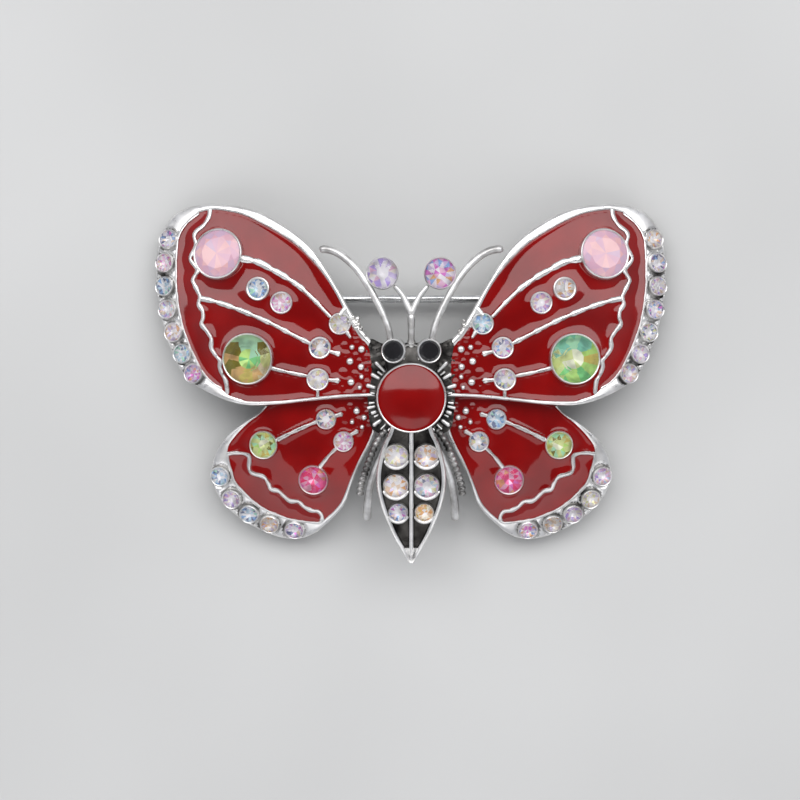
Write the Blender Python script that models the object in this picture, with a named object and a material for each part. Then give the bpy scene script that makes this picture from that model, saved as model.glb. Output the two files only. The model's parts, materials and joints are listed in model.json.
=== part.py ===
"""Butterfly brooch: two white-metal castings, poured enamel, set stones and a locking pin back.

It lies face up: +X is the wearer's left as seen from the front, +Y points to the antennae,
+Z out of the face. The origin is on the resting surface, under the middle of the wings.
Plan sizes below are in millimetres and are scaled to metres when each mesh is made.
"""

import math

import bmesh
import bpy
from mathutils import Matrix, Vector

MM = 0.001

# Overall form. The outlines below are drawn for the two reference sizes.
WING_SPAN = 51.6
WING_LENGTH = 36.0
DRAWN_SPAN = 51.6
DRAWN_LENGTH = 36.0
SPAN_DROP = 4.6  # how far the wing tips fall below the root
TOP_DROP = 1.6
BOTTOM_DROP = 5.2
UPPER_LEVEL = 7.0  # enamel surface of the upper wings at the root
LOWER_STEP = 1.2  # the lower wings sit this far below the upper ones

# Castings
PLATE = 1.5
RIM_PROUD = 0.15
RIM_CHAMFER = 0.35
ENAMEL_DEPTH = 0.6
CUP_WALL = 0.17
CUP_PROUD = 0.12
LINK_WIDTH = 0.5  # the adhesive that joins a rim row below its girdles
LINK_HEIGHT = 0.16
LINK_DEPTH = 0.2
PEG_RADIUS = 0.9
PEG_HEAD_RADIUS = 1.4
PEG_HEAD = 0.45

# Clearances
GLUE_GAP = 0.04
SEAT_GAP = 0.05
RUNNING_GAP = 0.06
SIDE_PLAY = 0.06

# Body casting
THORAX_RADIUS = 3.48
THORAX_HEIGHT = 1.75
THORAX_RIM = 0.2
THORAX_CROWN = 0.55
THORAX_Y = -1.5
ABDOMEN_DEPTH = 1.3
ABDOMEN_RIM = 0.33
ABDOMEN_RECESS = 0.45
ABDOMEN_SLOPE = math.radians(11)
RIDGE_HALF = 0.2
HEAD_HEIGHT = 1.0
ROD_RADIUS = 0.27
LEG_RADIUS = 0.27

# Pin back
PIN_Y = 8.5
PIN_RADIUS = 0.4
PIN_POINT = 1.8
PIN_AXIS_Z = 1.45
HINGE_X = -13.2
CATCH_X = 13.2
PIN_OVERHANG = 2.4
EYE_RADIUS = 0.85
EYE_WIDTH = 0.8
RIVET_RADIUS = 0.32
RIVET_HEAD_RADIUS = 0.6
RIVET_HEAD = 0.22
SHEET = 0.4
PAD_SIZE = (4.2, 3.4)
PAD_DEPTH = 0.35
ROLLER_RADIUS = 0.86
ROLLER_FLANGE_RADIUS = 1.12
ROLLER_FLANGE = 0.3
HOUSING_LENGTH = 1.7
HOUSING_WALL = 0.4
HOUSING_MOUTH = 2 * PIN_RADIUS + 0.3
ROLLER_MOUTH = 2 * PIN_RADIUS + 0.14
BASE_LENGTH = 2.9
CATCH_FOOT = (3.2, 2.6)
TAB_REACH = 2.1
TAB_WIDTH = 0.7

BRIDGE_BACK = -4.9  # the back edge of the bridge between the wings

# Chamfered outlines, the right-hand half, in drawn millimetres.
# Each list is one smooth stretch, and the stretches meet at corners.
UPPER_OUTLINE = [
    [(0, 3.8), (2.6, 3.9), (4.0, 4.5)],
    [(4.0, 4.5), (6.1, 7.4), (8.2, 11.0), (10.3, 13.9), (13.0, 15.9), (16.2, 17.4), (19.6, 18.05),
     (22.4, 17.8), (24.4, 16.3), (25.5, 14.2), (25.85, 11.6), (25.7, 8.2), (24.9, 5.0), (23.4, 1.8),
     (21.6, -0.3), (18.8, -1.7), (16.0, -2.25), (12.0, -1.95), (8.0, -1.6), (4.6, -1.5)],
    [(4.6, -1.5), (4.5, -3.2), (3.6, BRIDGE_BACK)],
    [(3.6, BRIDGE_BACK), (0, BRIDGE_BACK)],
]
UPPER_ENAMEL = [
    [(4.15, 3.7), (5.2, 4.7), (6.1, 5.9), (6.6, 7.5), (8.6, 10.6), (10.8, 13.3), (13.5, 15.2),
     (16.5, 16.65), (19.0, 17.25), (21.2, 17.1), (22.7, 16.2), (23.25, 14.8), (23.55, 12.0),
     (23.3, 8.6), (22.5, 5.4), (21.2, 2.4), (19.9, 0.4), (18.7, -0.5)],
    [(18.7, -0.5), (18.1, -1.3), (16.0, -1.55), (12.0, -1.4), (8.0, -1.15), (4.3, -1.0)],
    [(4.3, -1.0), (4.0, 1.4), (4.15, 3.7)],
]
LOWER_OUTLINE = [
    [(3.4, -1.2), (3.3, -4.4)],
    [(3.3, -4.4), (4.5, -6.6), (5.9, -9.8), (6.9, -12.4), (8.4, -14.2), (10.3, -15.55), (12.2, -15.8),
     (14.9, -15.1), (17.6, -13.5), (19.4, -11.6), (20.1, -9.2), (19.6, -7.0), (18.2, -5.0),
     (16.2, -3.5), (15.1, -2.95)],
    [(15.1, -2.95), (14.6, -1.2)],
    [(14.6, -1.2), (3.4, -1.2)],
]
LOWER_ENAMEL = [
    [(4.7, -2.0), (8.0, -2.1), (12.0, -2.45), (15.0, -2.75)],
    [(15.0, -2.75), (15.3, -3.2), (16.8, -4.4), (17.9, -5.7), (18.25, -6.9), (18.2, -8.4),
     (17.4, -10.2), (15.9, -11.9), (13.8, -13.1), (11.6, -13.8), (9.7, -13.9), (8.4, -13.6)],
    [(8.4, -13.6), (7.4, -12.4), (6.4, -10.2), (5.2, -7.3), (3.9, -5.0), (3.7, -4.3)],
    [(3.7, -4.3), (4.3, -3.2), (4.7, -2.0)],
]

# Raised lines: (points, half width at the start, half width at the end)
UPPER_VEINS = [
    ([(18.2, 12.7), (15.5, 12.15), (13.0, 10.8), (10.6, 9.0), (8.9, 7.3), (7.3, 6.0)], 0.27, 0.13),
    ([(20.5, 13.2), (21.9, 13.4)], 0.2, 0.2),
    ([(21.3, 8.55), (19.6, 8.2), (16.4, 7.05), (12.9, 5.5), (10.0, 3.95)], 0.2, 0.16),
    ([(14.2, 1.55), (12.2, 1.1), (10.2, 0.75)], 0.17, 0.17),
    ([(9.3, -0.4), (9.3, -1.7)], 0.15, 0.2),
    ([(7.3, 6.3), (6.0, 7.6)], 0.35, 0.35),
]
UPPER_BORDER = (
    [(20.0, 18.0), (20.25, 16.9), (20.9, 15.9), (21.75, 15.1), (21.6, 13.9), (22.1, 12.6),
     (21.6, 11.5), (22.0, 10.3), (21.3, 8.8), (21.1, 7.6), (20.95, 6.2), (20.2, 4.9), (20.05, 3.5),
     (19.3, 2.5), (19.1, 1.4), (18.6, 0.3), (18.4, -0.9), (18.6, -2.0)],
    0.17, 0.17,
)
LOWER_VEINS = [
    ([(13.6, -5.75), (11.5, -4.8), (9.2, -3.85)], 0.17, 0.15),
    ([(9.2, -8.5), (8.2, -7.3), (7.2, -6.3)], 0.17, 0.12),
    ([(15.6, -7.2), (16.6, -6.95), (17.7, -6.9), (18.9, -7.2)], 0.15, 0.15),
]
LOWER_BORDER = (
    [(15.9, -7.1), (16.25, -8.2), (16.1, -9.0), (14.9, -9.4), (14.3, -10.5), (13.0, -10.95),
     (12.3, -11.8), (11.2, -12.1), (10.4, -12.75), (9.3, -12.95), (8.9, -13.5), (9.1, -14.4)],
    0.15, 0.15,
)

# Stones: (name, x, y, radius)
UPPER_STONES = [
    ("opal", 19.25, 12.9, 2.35),
    ("green", 16.25, 2.4, 2.4),
    ("mid_outer", 15.3, 9.4, 0.95),
    ("mid_inner", 12.95, 8.0, 0.95),
    ("root_1", 7.1, 5.9, 0.95),
    ("root_2", 9.1, 3.5, 0.92),
    ("root_3", 9.3, 0.35, 0.95),
]
LOWER_STONES = [
    ("citrine", 14.8, -6.2, 1.28),
    ("pink", 9.8, -9.7, 1.35),
    ("root_1", 8.5, -3.62, 0.9),
    ("root_2", 6.75, -5.85, 0.88),
]
RIM_STONE_RADIUS = 0.88
UPPER_RIM_STONES = [
    (24.45, 14.5), (24.8, 12.1), (24.8, 9.75), (24.5, 7.4), (23.85, 5.1), (22.95, 2.95), (21.8, 0.95),
]
LOWER_RIM_STONES = [(19.2, -9.35), (18.05, -11.65), (16.3, -13.15), (14.25, -14.15), (11.75, -14.75)]
EYE = (1.8, 3.15, 1.05)
EYE_TILT = math.radians(12)
ANTENNA_STONE = (2.85, 10.87, 1.48)
ABDOMEN_STONES = [(1.45, -7.3, 1.0), (1.5, -10.3, 1.05), (1.3, -12.95, 0.8)]

# Half outline of the abdomen, from the thorax to the tip.
ABDOMEN_OUTLINE = [(1.9, -3.6), (2.6, -5.9), (3.15, -7.6), (3.35, -9.6), (3.2, -11.3), (2.7, -13.2),
                   (1.9, -15.3), (1.0, -17.0), (0.35, -18.25)]
HEAD_OUTLINE = [(0, 4.0), (1.1, 4.05), (2.3, 3.6), (2.7, 2.4), (2.9, 1.0), (2.2, 0.0), (0, -0.4)]

# Rods of the body casting: points are (x, y, z), the right-hand ones are mirrored.
ANTENNA = [(1.95, 3.4, 7.7), (2.25, 5.3, 7.95), (3.2, 7.8, 7.95), (4.55, 10.2, 7.8), (6.2, 12.1, 7.4),
           (7.9, 13.2, 7.0), (9.3, 13.1, 6.8)]
FORK_STEM = [(0, 3.2, 7.7), (0, 5.0, 7.95), (0, 7.0, 7.95)]
FORK_ARM = [(0, 6.6, 7.95), (0.6, 8.0, 7.95), (1.9, 9.8, 7.9)]
FRONT_LEG = [(2.2, -4.7, 7.75), (3.3, -5.6, 7.2), (4.2, -7.8, 6.2), (4.75, -9.7, 5.0), (5.0, -11.5, 4.0)]
REAR_LEG = [(1.8, -6.0, 7.3), (3.3, -8.0, 6.2), (4.1, -10.2, 4.9), (4.4, -12.3, 3.4), (4.45, -13.8, 2.2)]

# How finely curves are sampled, in millimetres, and facets per circle.
OUTLINE_STEP = 2.0
BORDER_STEP = 1.3
LATTICE = (10, 6)  # cells of the faceted dome across the span and along the length, both even
BIG_SIDES = 16
SMALL_SIDES = 12
TINY_SIDES = 8
THORAX_SIDES = 24

METALS = {
    "silver": ((0.82, 0.81, 0.80), 0.22),
    "steel": ((0.72, 0.73, 0.74), 0.28),
}


# ---------------------------------------------------------------- materials


def material(name, colour, roughness, metallic=0.0, transmission=0.0):
    mat = bpy.data.materials.get(name)
    if mat:
        return mat
    mat = bpy.data.materials.new(name)
    mat.use_nodes = True
    shader = mat.node_tree.nodes["Principled BSDF"]
    shader.inputs["Base Color"].default_value = (*colour, 1)
    shader.inputs["Roughness"].default_value = roughness
    shader.inputs["Metallic"].default_value = metallic
    shader.inputs["Transmission Weight"].default_value = transmission
    mat.diffuse_color = (*colour, 1)
    return mat


def metal(name):
    colour, roughness = METALS[name]
    return material(name, colour, roughness, 1.0)


def enamel_red():
    return material("red_enamel", (0.42, 0.008, 0.012), 0.08)


STONE_COLOURS = {
    "opal": (0.92, 0.66, 0.72),
    "green": (0.45, 0.78, 0.35),
    "citrine": (0.78, 0.82, 0.35),
    "pink": (0.9, 0.2, 0.42),
    "jet": (0.02, 0.018, 0.02),
    "crystal": (0.86, 0.84, 0.9),
}


def stone_material(kind):
    return material(kind + "_stone", STONE_COLOURS[kind], 0.05)


# ---------------------------------------------------------------- plan curves


def plan(point):
    """A drawn plan point, scaled to the stated span and length."""
    return Vector((point[0] * WING_SPAN / DRAWN_SPAN, point[1] * WING_LENGTH / DRAWN_LENGTH))


def catmull(points, step):
    """A smooth curve through the points, as points about a step apart."""
    points = [Vector(p) for p in points]
    if len(points) == 2:
        return points
    padded = [2 * points[0] - points[1], *points, 2 * points[-1] - points[-2]]
    found = []
    for a, b, c, d in zip(padded, padded[1:], padded[2:], padded[3:]):
        pieces = max(1, round((c - b).length / step))
        for i in range(pieces):
            t = i / pieces
            found.append(0.5 * (2 * b + (c - a) * t + (2 * a - 5 * b + 4 * c - d) * t * t
                                + (3 * b - a - 3 * c + d) * t ** 3))
    return [*found, points[-1]]


def outline(stretches, step=OUTLINE_STEP):
    """A closed polygon from stretches that meet end to end."""
    found = []
    for stretch in stretches:
        found += catmull([plan(p) for p in stretch], step)[:-1]
    return found


def both_sides(half):
    """Closes a half outline that starts and ends on the centre line by mirroring it."""
    left = [Vector((-p.x, p.y)) for p in reversed(half) if abs(p.x) > 1e-6]
    return half + left


def ribbon(points, half_start, half_end, grow=0.0, step=OUTLINE_STEP):
    """A closed polygon around a line whose half width changes evenly, with pointed-round ends."""
    line = catmull([plan(p) for p in points], step)
    lengths = [0.0]
    for a, b in zip(line, line[1:]):
        lengths.append(lengths[-1] + (b - a).length)
    left, right = [], []
    for i, p in enumerate(line):
        ahead = line[min(i + 1, len(line) - 1)] - line[max(i - 1, 0)]
        side = Vector((-ahead.y, ahead.x)).normalized()
        half = grow + half_start + (half_end - half_start) * lengths[i] / lengths[-1]
        left.append(p + side * half)
        right.append(p - side * half)
    return [*right, *reversed(left)]


def mirrored(polygon, side):
    """The polygon on the right (side 1) or left (side -1)."""
    return [Vector((p.x * side, p.y)) for p in polygon]


def area(polygon):
    return sum(a.x * b.y - b.x * a.y for a, b in zip(polygon, polygon[1:] + polygon[:1])) / 2


def inset(polygon, distance):
    """Each corner moved inwards along its bisector."""
    if area(polygon) < 0:
        polygon = polygon[::-1]
    moved = []
    for a, b, c in zip(polygon[-1:] + polygon[:-1], polygon, polygon[1:] + polygon[:1]):
        before, after = (b - a).normalized(), (c - b).normalized()
        inward = Vector((-before.y - after.y, before.x + after.x))
        inward /= max(0.5, 1 + before.dot(after))
        moved.append(b + inward * distance)
    return moved


# ---------------------------------------------------------------- meshes


def new_object(name, bm, mat=None, helper=False, smooth_angle=None):
    """The bmesh, in millimetres, as an object in metres."""
    bmesh.ops.recalc_face_normals(bm, faces=bm.faces)
    bm.transform(Matrix.Scale(MM, 4))
    mesh = bpy.data.meshes.new(name)
    bm.to_mesh(mesh)
    bm.free()
    obj = bpy.data.objects.new(name, mesh)
    bpy.context.scene.collection.objects.link(obj)
    if mat:
        mesh.materials.append(mat)
    if helper:
        obj.hide_render = True
        obj.display_type = "WIRE"
    if smooth_angle:
        mesh.shade_smooth()
        mesh.set_sharp_from_angle(angle=math.radians(smooth_angle))
    return obj


def add_prism(bm, polygon, levels):
    """A closed prism through levels of (z, inset), lowest first."""
    if area(polygon) < 0:
        polygon = polygon[::-1]
    rings = []
    for z, inward in levels:
        ring = inset(polygon, inward) if inward else polygon
        rings.append([bm.verts.new((p.x, p.y, z)) for p in ring])
    for low, high in zip(rings, rings[1:]):
        for i in range(len(low)):
            j = (i + 1) % len(low)
            bm.faces.new((low[i], low[j], high[j], high[i]))
    bm.faces.new(rings[0][::-1])
    bm.faces.new(rings[-1])


def add_turned(bm, profile, sides, matrix=None, start=0.0):
    """A solid turned about Z through (radius, z) pairs, lowest first."""
    rings = []
    for radius, z in profile:
        ring = []
        for k in range(sides):
            angle = start + 2 * math.pi * k / sides
            ring.append(bm.verts.new((radius * math.cos(angle), radius * math.sin(angle), z)))
        rings.append(ring)
    made = [v for ring in rings for v in ring]
    for low, high in zip(rings, rings[1:]):
        for i in range(sides):
            j = (i + 1) % sides
            bm.faces.new((low[i], low[j], high[j], high[i]))
    bm.faces.new(rings[0][::-1])
    bm.faces.new(rings[-1])
    if matrix:
        bmesh.ops.transform(bm, matrix=matrix, verts=made)


def add_block(bm, size, matrix):
    bmesh.ops.create_cube(bm, size=1, matrix=matrix @ Matrix.Diagonal((*size, 1)))


def boolean(obj, cutter, operation):
    modifier = obj.modifiers.new(cutter.name, "BOOLEAN")
    modifier.object = cutter
    modifier.operation = operation
    modifier.solver = "EXACT"


def flattened(obj):
    """The object's evaluated mesh as a bmesh in millimetres; the object itself is removed."""
    bpy.context.view_layer.update()
    baked = obj.evaluated_get(bpy.context.evaluated_depsgraph_get())
    bm = bmesh.new()
    bm.from_mesh(baked.to_mesh())
    baked.to_mesh_clear()
    bm.transform(Matrix.Scale(1 / MM, 4) @ obj.matrix_world)
    bpy.data.objects.remove(obj)
    return bm


def tube(name, points, radius):
    """A helper: a round rod along a smooth line, with closed ends."""
    line = catmull(points, 1.6)
    curve = bpy.data.curves.new(name, "CURVE")
    curve.dimensions = "3D"
    curve.bevel_depth = radius * MM
    curve.bevel_resolution = 1
    curve.use_fill_caps = True
    spline = curve.splines.new("POLY")
    spline.points.add(len(line) - 1)
    for target, p in zip(spline.points, line):
        target.co = (*(p * MM), 1)
    obj = bpy.data.objects.new(name, curve)
    bpy.context.scene.collection.objects.link(obj)
    bm = flattened(obj)
    bmesh.ops.remove_doubles(bm, verts=bm.verts, dist=1e-4)
    return new_object(name, bm, helper=True)


# ---------------------------------------------------------------- the dome


def drop(x, y):
    """How far the domed wings have fallen below their root at a plan point."""
    across = SPAN_DROP * (abs(x) / (WING_SPAN / 2)) ** 3
    along = (TOP_DROP if y > 0 else BOTTOM_DROP) * (abs(y) / (WING_LENGTH / 2)) ** 3
    return across + along


def facing(x, y):
    """The outward normal of the dome at a plan point."""
    d = 0.01
    return Vector((
        (drop(x + d, y) - drop(x - d, y)) / (2 * d),
        (drop(x, y + d) - drop(x, y - d)) / (2 * d),
        1,
    )).normalized()


def level_of(wing):
    return UPPER_LEVEL - (LOWER_STEP if wing == "lower" else 0)


def on_dome(wing, x, y):
    """The matrix that stands a piece on the enamel surface of a wing."""
    turn = facing(x, y).to_track_quat("Z", "Y").to_matrix().to_4x4()
    return Matrix.Translation((x, y, level_of(wing) - drop(x, y))) @ turn


def lattice_drop(x, y):
    """The drop at a plan point of the flat-faceted dome, level across each triangle of the lattice."""
    width, length = WING_SPAN / LATTICE[0], WING_LENGTH / LATTICE[1]
    i, j = math.floor(abs(x) / width), math.floor(y / length)
    u, v = abs(x) / width - i, y / length - j
    if u + v > 1:
        i, j, u, v, step = i + 1, j + 1, 1 - u, 1 - v, -1
    else:
        step = 1
    corner = drop(i * width, j * length)
    across = drop((i + step) * width, j * length) - corner
    along = drop(i * width, (j + step) * length) - corner
    return corner + u * across + v * along


def slice_mesh(bm, faces, at, normal):
    edges = {e for f in faces for e in f.edges}
    verts = {v for f in faces for v in f.verts}
    bmesh.ops.bisect_plane(bm, geom=[*verts, *edges, *faces], plane_co=at, plane_no=normal, dist=1e-4)


def drape(bm, level):
    """Bends a flat mesh over the dome: it is sliced along the lattice, and each point falls by the drop."""
    width, length = WING_SPAN / LATTICE[0], WING_LENGTH / LATTICE[1]
    half_x, half_y = LATTICE[0] // 2, LATTICE[1] // 2
    for k in range(-half_x, half_x + 1):
        slice_mesh(bm, list(bm.faces), (k * width, 0, 0), (1, 0, 0))
    for k in range(-half_y, half_y + 1):
        slice_mesh(bm, list(bm.faces), (0, k * length, 0), (0, 1, 0))
    for side in SIDES.values():
        for k in range(-half_y, half_x + half_y + 1):
            faces = [f for f in bm.faces if f.calc_center_median().x * side > 0]
            slice_mesh(bm, faces, (side * k * width, 0, 0), (side / width, 1 / length, 0))
    bmesh.ops.triangulate(bm, faces=bm.faces)
    for v in bm.verts:
        v.co.z += level - lattice_drop(v.co.x, v.co.y)


# ---------------------------------------------------------------- stones and their cups


def stone_profile(radius):
    """A faceted stone about its girdle: cut-off back, girdle and table."""
    return [(0.35 * radius, -0.62 * radius), (radius, 0.0), (0.6 * radius, 0.36 * radius)]


def seat_depth(radius):
    return 0.62 * radius + SEAT_GAP


def girdle_rise(radius):
    """How far a girdle stands above the enamel, so that the seat stays inside the plate."""
    return max(0.1, seat_depth(radius) - (PLATE - 0.45))


def sides_for(radius):
    return BIG_SIDES if radius > 2 else SMALL_SIDES if radius > 1.2 else TINY_SIDES


def add_stone(bm, radius, matrix):
    add_turned(bm, stone_profile(radius), sides_for(radius), matrix)


def add_seat(bm, radius, matrix):
    """The flat-bottomed hole a stone drops into, open at the top."""
    bore = radius + SEAT_GAP
    add_turned(bm, [(bore, -seat_depth(radius)), (bore, 2.5)], sides_for(radius), matrix)


def add_cup(bm, radius, matrix, foot):
    """The raised wall around a seat, from foot below the girdle to just above it."""
    outer = radius + SEAT_GAP + CUP_WALL
    add_turned(bm, [(outer, -foot), (outer, CUP_PROUD)], sides_for(radius), matrix)


def girdle_matrix(wing, x, y, radius):
    return on_dome(wing, x, y) @ Matrix.Translation((0, 0, girdle_rise(radius)))


def make_stone(name, kind, radius, matrix):
    """A stone as its own object, placed by its location and rotation."""
    bm = bmesh.new()
    add_stone(bm, radius, None)
    stand(new_object(name, bm, stone_material(kind)), matrix)


# ---------------------------------------------------------------- wings

WINGS = {
    "upper": (UPPER_OUTLINE, UPPER_ENAMEL, UPPER_VEINS, UPPER_BORDER, UPPER_STONES, UPPER_RIM_STONES),
    "lower": (LOWER_OUTLINE, LOWER_ENAMEL, LOWER_VEINS, LOWER_BORDER, LOWER_STONES, LOWER_RIM_STONES),
}
SIDES = {"right": 1, "left": -1}


def flat_enamel(wing, side, grow, low, high):
    """The enamel field of one wing with its raised lines cut out, all at z relative to the enamel surface.

    Grow widens the pocket and thins the lines: it is the glue gap for the pocket, and 0 for the enamel.
    """
    _, field, veins, border, _, _ = WINGS[wing]
    bm = bmesh.new()
    add_prism(bm, mirrored(inset(outline(field), GLUE_GAP - grow), side), [(low, 0), (high, 0)])
    pocket = new_object("flat_field", bm, helper=True)
    lines = [(v, OUTLINE_STEP) for v in veins] + [(border, BORDER_STEP)]
    cutters = []
    for number, ((points, start, end), step) in enumerate(lines):
        bm = bmesh.new()
        shape = mirrored(ribbon(points, start, end, GLUE_GAP - grow, step), side)
        add_prism(bm, shape, [(low - 0.5, 0), (high + 0.5, 0)])
        cutters.append(new_object(f"flat_line_{number}", bm, helper=True))
        boolean(pocket, cutters[-1], "DIFFERENCE")
    bm = flattened(pocket)
    for cutter in cutters:
        bpy.data.objects.remove(cutter)
    return bm


def wing_stones(wing, side):
    """(name, kind, x, y, radius) of each stone set in one wing, except its rim row."""
    kinds = {"opal": "opal", "green": "green", "citrine": "citrine", "pink": "pink"}
    for name, x, y, radius in WINGS[wing][4]:
        at = plan((x, y))
        yield name, kinds.get(name, "crystal"), at.x * side, at.y, radius


def rim_row(wing, side):
    """(x, y) of each stone in one wing's rim row."""
    for point in WINGS[wing][5]:
        at = plan(point)
        yield at.x * side, at.y


def rim_links(wing, side, grow):
    """A bar of adhesive below the girdles between each pair of neighbours: (size, matrix)."""
    places = [girdle_matrix(wing, x, y, RIM_STONE_RADIUS) for x, y in rim_row(wing, side)]
    for a, b in zip(places, places[1:]):
        along = b.translation - a.translation
        up = (a.col[2].xyz + b.col[2].xyz).normalized()
        across = up.cross(along).normalized()
        up = along.normalized().cross(across)
        middle = (a.translation + b.translation) / 2 - up * LINK_DEPTH
        turn = Matrix((along.normalized(), across, up)).transposed().to_4x4()
        size = (along.length - 0.6, LINK_WIDTH + 2 * grow, LINK_HEIGHT + 2 * grow)
        yield size, Matrix.Translation(middle) @ turn


def wing_casting():
    plates = []
    for wing in WINGS:
        level = level_of(wing) - UPPER_LEVEL
        profile = [(level - PLATE, 0), (level + RIM_PROUD - RIM_CHAMFER, 0), (level + RIM_PROUD, RIM_CHAMFER)]
        edge = outline(WINGS[wing][0])
        shapes = [both_sides(edge)] if wing == "upper" else [mirrored(edge, s) for s in SIDES.values()]
        for shape in shapes:
            bm = bmesh.new()
            add_prism(bm, shape, profile)
            plates.append(new_object("flat_plate", bm, helper=True))
    casting = plates.pop(0)
    for extra in plates:
        boolean(casting, extra, "UNION")
    pockets = []
    for wing in WINGS:
        level = level_of(wing) - UPPER_LEVEL
        for side in SIDES.values():
            top = 0.5 if wing == "upper" else RIM_PROUD + 0.05
            bm = flat_enamel(wing, side, GLUE_GAP, level - ENAMEL_DEPTH - GLUE_GAP, level + top)
            pockets.append(new_object("flat_pocket", bm, helper=True))
            boolean(casting, pockets[-1], "DIFFERENCE")
    bm = flattened(casting)
    for helper in plates + pockets:
        bpy.data.objects.remove(helper)
    drape(bm, UPPER_LEVEL)
    casting = new_object("wing_casting", bm, metal("silver"))
    boolean(casting, wing_pads(), "UNION")
    boolean(casting, wing_cups(), "UNION")
    boolean(casting, casting_seats(), "DIFFERENCE")


def pad_face():
    """The height of the two flat pads under the wings that carry the pin back."""
    edge = max(drop(abs(x) + PAD_SIZE[0] / 2, PIN_Y + PAD_SIZE[1] / 2) for x in (HINGE_X, CATCH_X))
    return UPPER_LEVEL - edge - PLATE - PAD_DEPTH


def wing_pads():
    """Blocks under the plate that carry the pin back. Their tops run inside it, below the enamel."""
    bm = bmesh.new()
    inside = (PLATE + ENAMEL_DEPTH) / 2
    for x in (HINGE_X, CATCH_X):
        turns = ((1, 1), (-1, 1), (-1, -1), (1, -1))
        corners = [(x + i * PAD_SIZE[0] / 2, PIN_Y + j * PAD_SIZE[1] / 2) for i, j in turns]
        low = [bm.verts.new((cx, cy, pad_face())) for cx, cy in corners]
        high = [bm.verts.new((cx, cy, UPPER_LEVEL - lattice_drop(cx, cy) - inside)) for cx, cy in corners]
        bm.faces.new(low[::-1])
        bm.faces.new(high[:3])
        bm.faces.new((high[0], high[2], high[3]))
        for i in range(4):
            j = (i + 1) % 4
            bm.faces.new((low[i], low[j], high[j], high[i]))
    return new_object("wing_pads", bm, helper=True)


def wing_cups():
    bm = bmesh.new()
    for wing in WINGS:
        for side in SIDES.values():
            for _, _, x, y, radius in wing_stones(wing, side):
                add_cup(bm, radius, girdle_matrix(wing, x, y, radius), girdle_rise(radius) + 0.9)
    return new_object("wing_cups", bm, helper=True)


def casting_seats():
    """Every hole in the wing casting: stone seats, rim rows and the peg's hole."""
    bm = bmesh.new()
    for wing in WINGS:
        for side in SIDES.values():
            for _, _, x, y, radius in wing_stones(wing, side):
                add_seat(bm, radius, girdle_matrix(wing, x, y, radius))
    holes = new_object("casting_seats", bm, helper=True)
    for wing in WINGS:
        for side_name, side in SIDES.items():
            row = rim_row_solid(f"rim_seat_{wing}_{side_name}", wing, side, cutter=True)
            boolean(holes, row, "UNION")
    bm = bmesh.new()
    hole = PEG_RADIUS + GLUE_GAP
    place = Matrix.Translation((0, THORAX_Y, 0))
    add_turned(bm, [(hole, UPPER_LEVEL - PLATE - 1), (hole, UPPER_LEVEL + 1)], SMALL_SIDES, place)
    boolean(holes, new_object("peg_hole", bm, helper=True), "UNION")
    return holes


def rim_row_solid(name, wing, side, cutter):
    """One rim row: its stones, joined by adhesive under the girdles. As a cutter it is the groove they sit in."""
    bm = bmesh.new()
    for x, y in rim_row(wing, side):
        place = girdle_matrix(wing, x, y, RIM_STONE_RADIUS)
        (add_seat if cutter else add_stone)(bm, RIM_STONE_RADIUS, place)
    row = new_object(name, bm, stone_material("crystal"), helper=cutter)
    grow = SEAT_GAP if cutter else 0
    bm = bmesh.new()
    for size, matrix in rim_links(wing, side, grow):
        if cutter:
            matrix = matrix @ Matrix.Translation((0, 0, 1))
            size = (size[0], size[1], size[2] + 2)
        add_block(bm, size, matrix)
    boolean(row, new_object(name + "_links", bm, helper=True), "UNION")
    return row


def enamel_pieces():
    """Each poured cell of each wing as its own object."""
    cells = {"upper": ("margin", "leading", "field"), "lower": ("margin", "field")}
    for wing in WINGS:
        for side_name, side in SIDES.items():
            bm = bmesh.new()
            for _, _, x, y, radius in wing_stones(wing, side):
                outer = radius + SEAT_GAP + CUP_WALL + GLUE_GAP
                place = girdle_matrix(wing, x, y, radius)
                add_turned(bm, [(outer, -2), (outer, 2)], sides_for(radius), place)
            cups = new_object("cup_cutter", bm, helper=True)
            bm = flat_enamel(wing, side, 0, -ENAMEL_DEPTH, 0)
            drape(bm, level_of(wing))
            whole = new_object("whole_enamel", bm, helper=True)
            boolean(whole, cups, "DIFFERENCE")
            bodies = loose_bodies(flattened(whole))
            bpy.data.objects.remove(cups)
            for cell, body in zip(cells[wing], bodies):
                new_object(f"{wing}_{side_name}_enamel_{cell}", body, enamel_red())


def loose_bodies(bm):
    """The separate bodies of a bmesh: the outermost first, then from the highest on the wing down."""
    left, groups = set(bm.verts), []
    while left:
        group, front = set(), [left.pop()]
        while front:
            v = front.pop()
            group.add(v)
            near = {e.other_vert(v) for e in v.link_edges} & left
            left -= near
            front += near
        if len(group) > 24:
            groups.append(group)
    outermost = max(groups, key=lambda g: max(abs(v.co.x) - 0.2 * v.co.y for v in g))
    groups.sort(key=lambda g: (g is not outermost, -min(v.co.y for v in g)))
    bm.verts.index_update()
    bodies = []
    for group in groups:
        keep = {v.index for v in group}
        body = bm.copy()
        body.verts.ensure_lookup_table()
        spare = [v for i, v in enumerate(body.verts) if i not in keep]
        bmesh.ops.delete(body, geom=spare, context="VERTS")
        bodies.append(body)
    return bodies


# ---------------------------------------------------------------- body

BODY_BASE = UPPER_LEVEL + RIM_PROUD + GLUE_GAP


def abdomen_matrix():
    """The abdomen slopes down from the back edge of the wings' bridge."""
    bend = plan((0, BRIDGE_BACK)).y
    hinge = Matrix.Translation((0, bend, BODY_BASE + ABDOMEN_DEPTH + 0.1))
    return hinge @ Matrix.Rotation(ABDOMEN_SLOPE, 4, "X") @ Matrix.Translation((0, -bend, 0))


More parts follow.
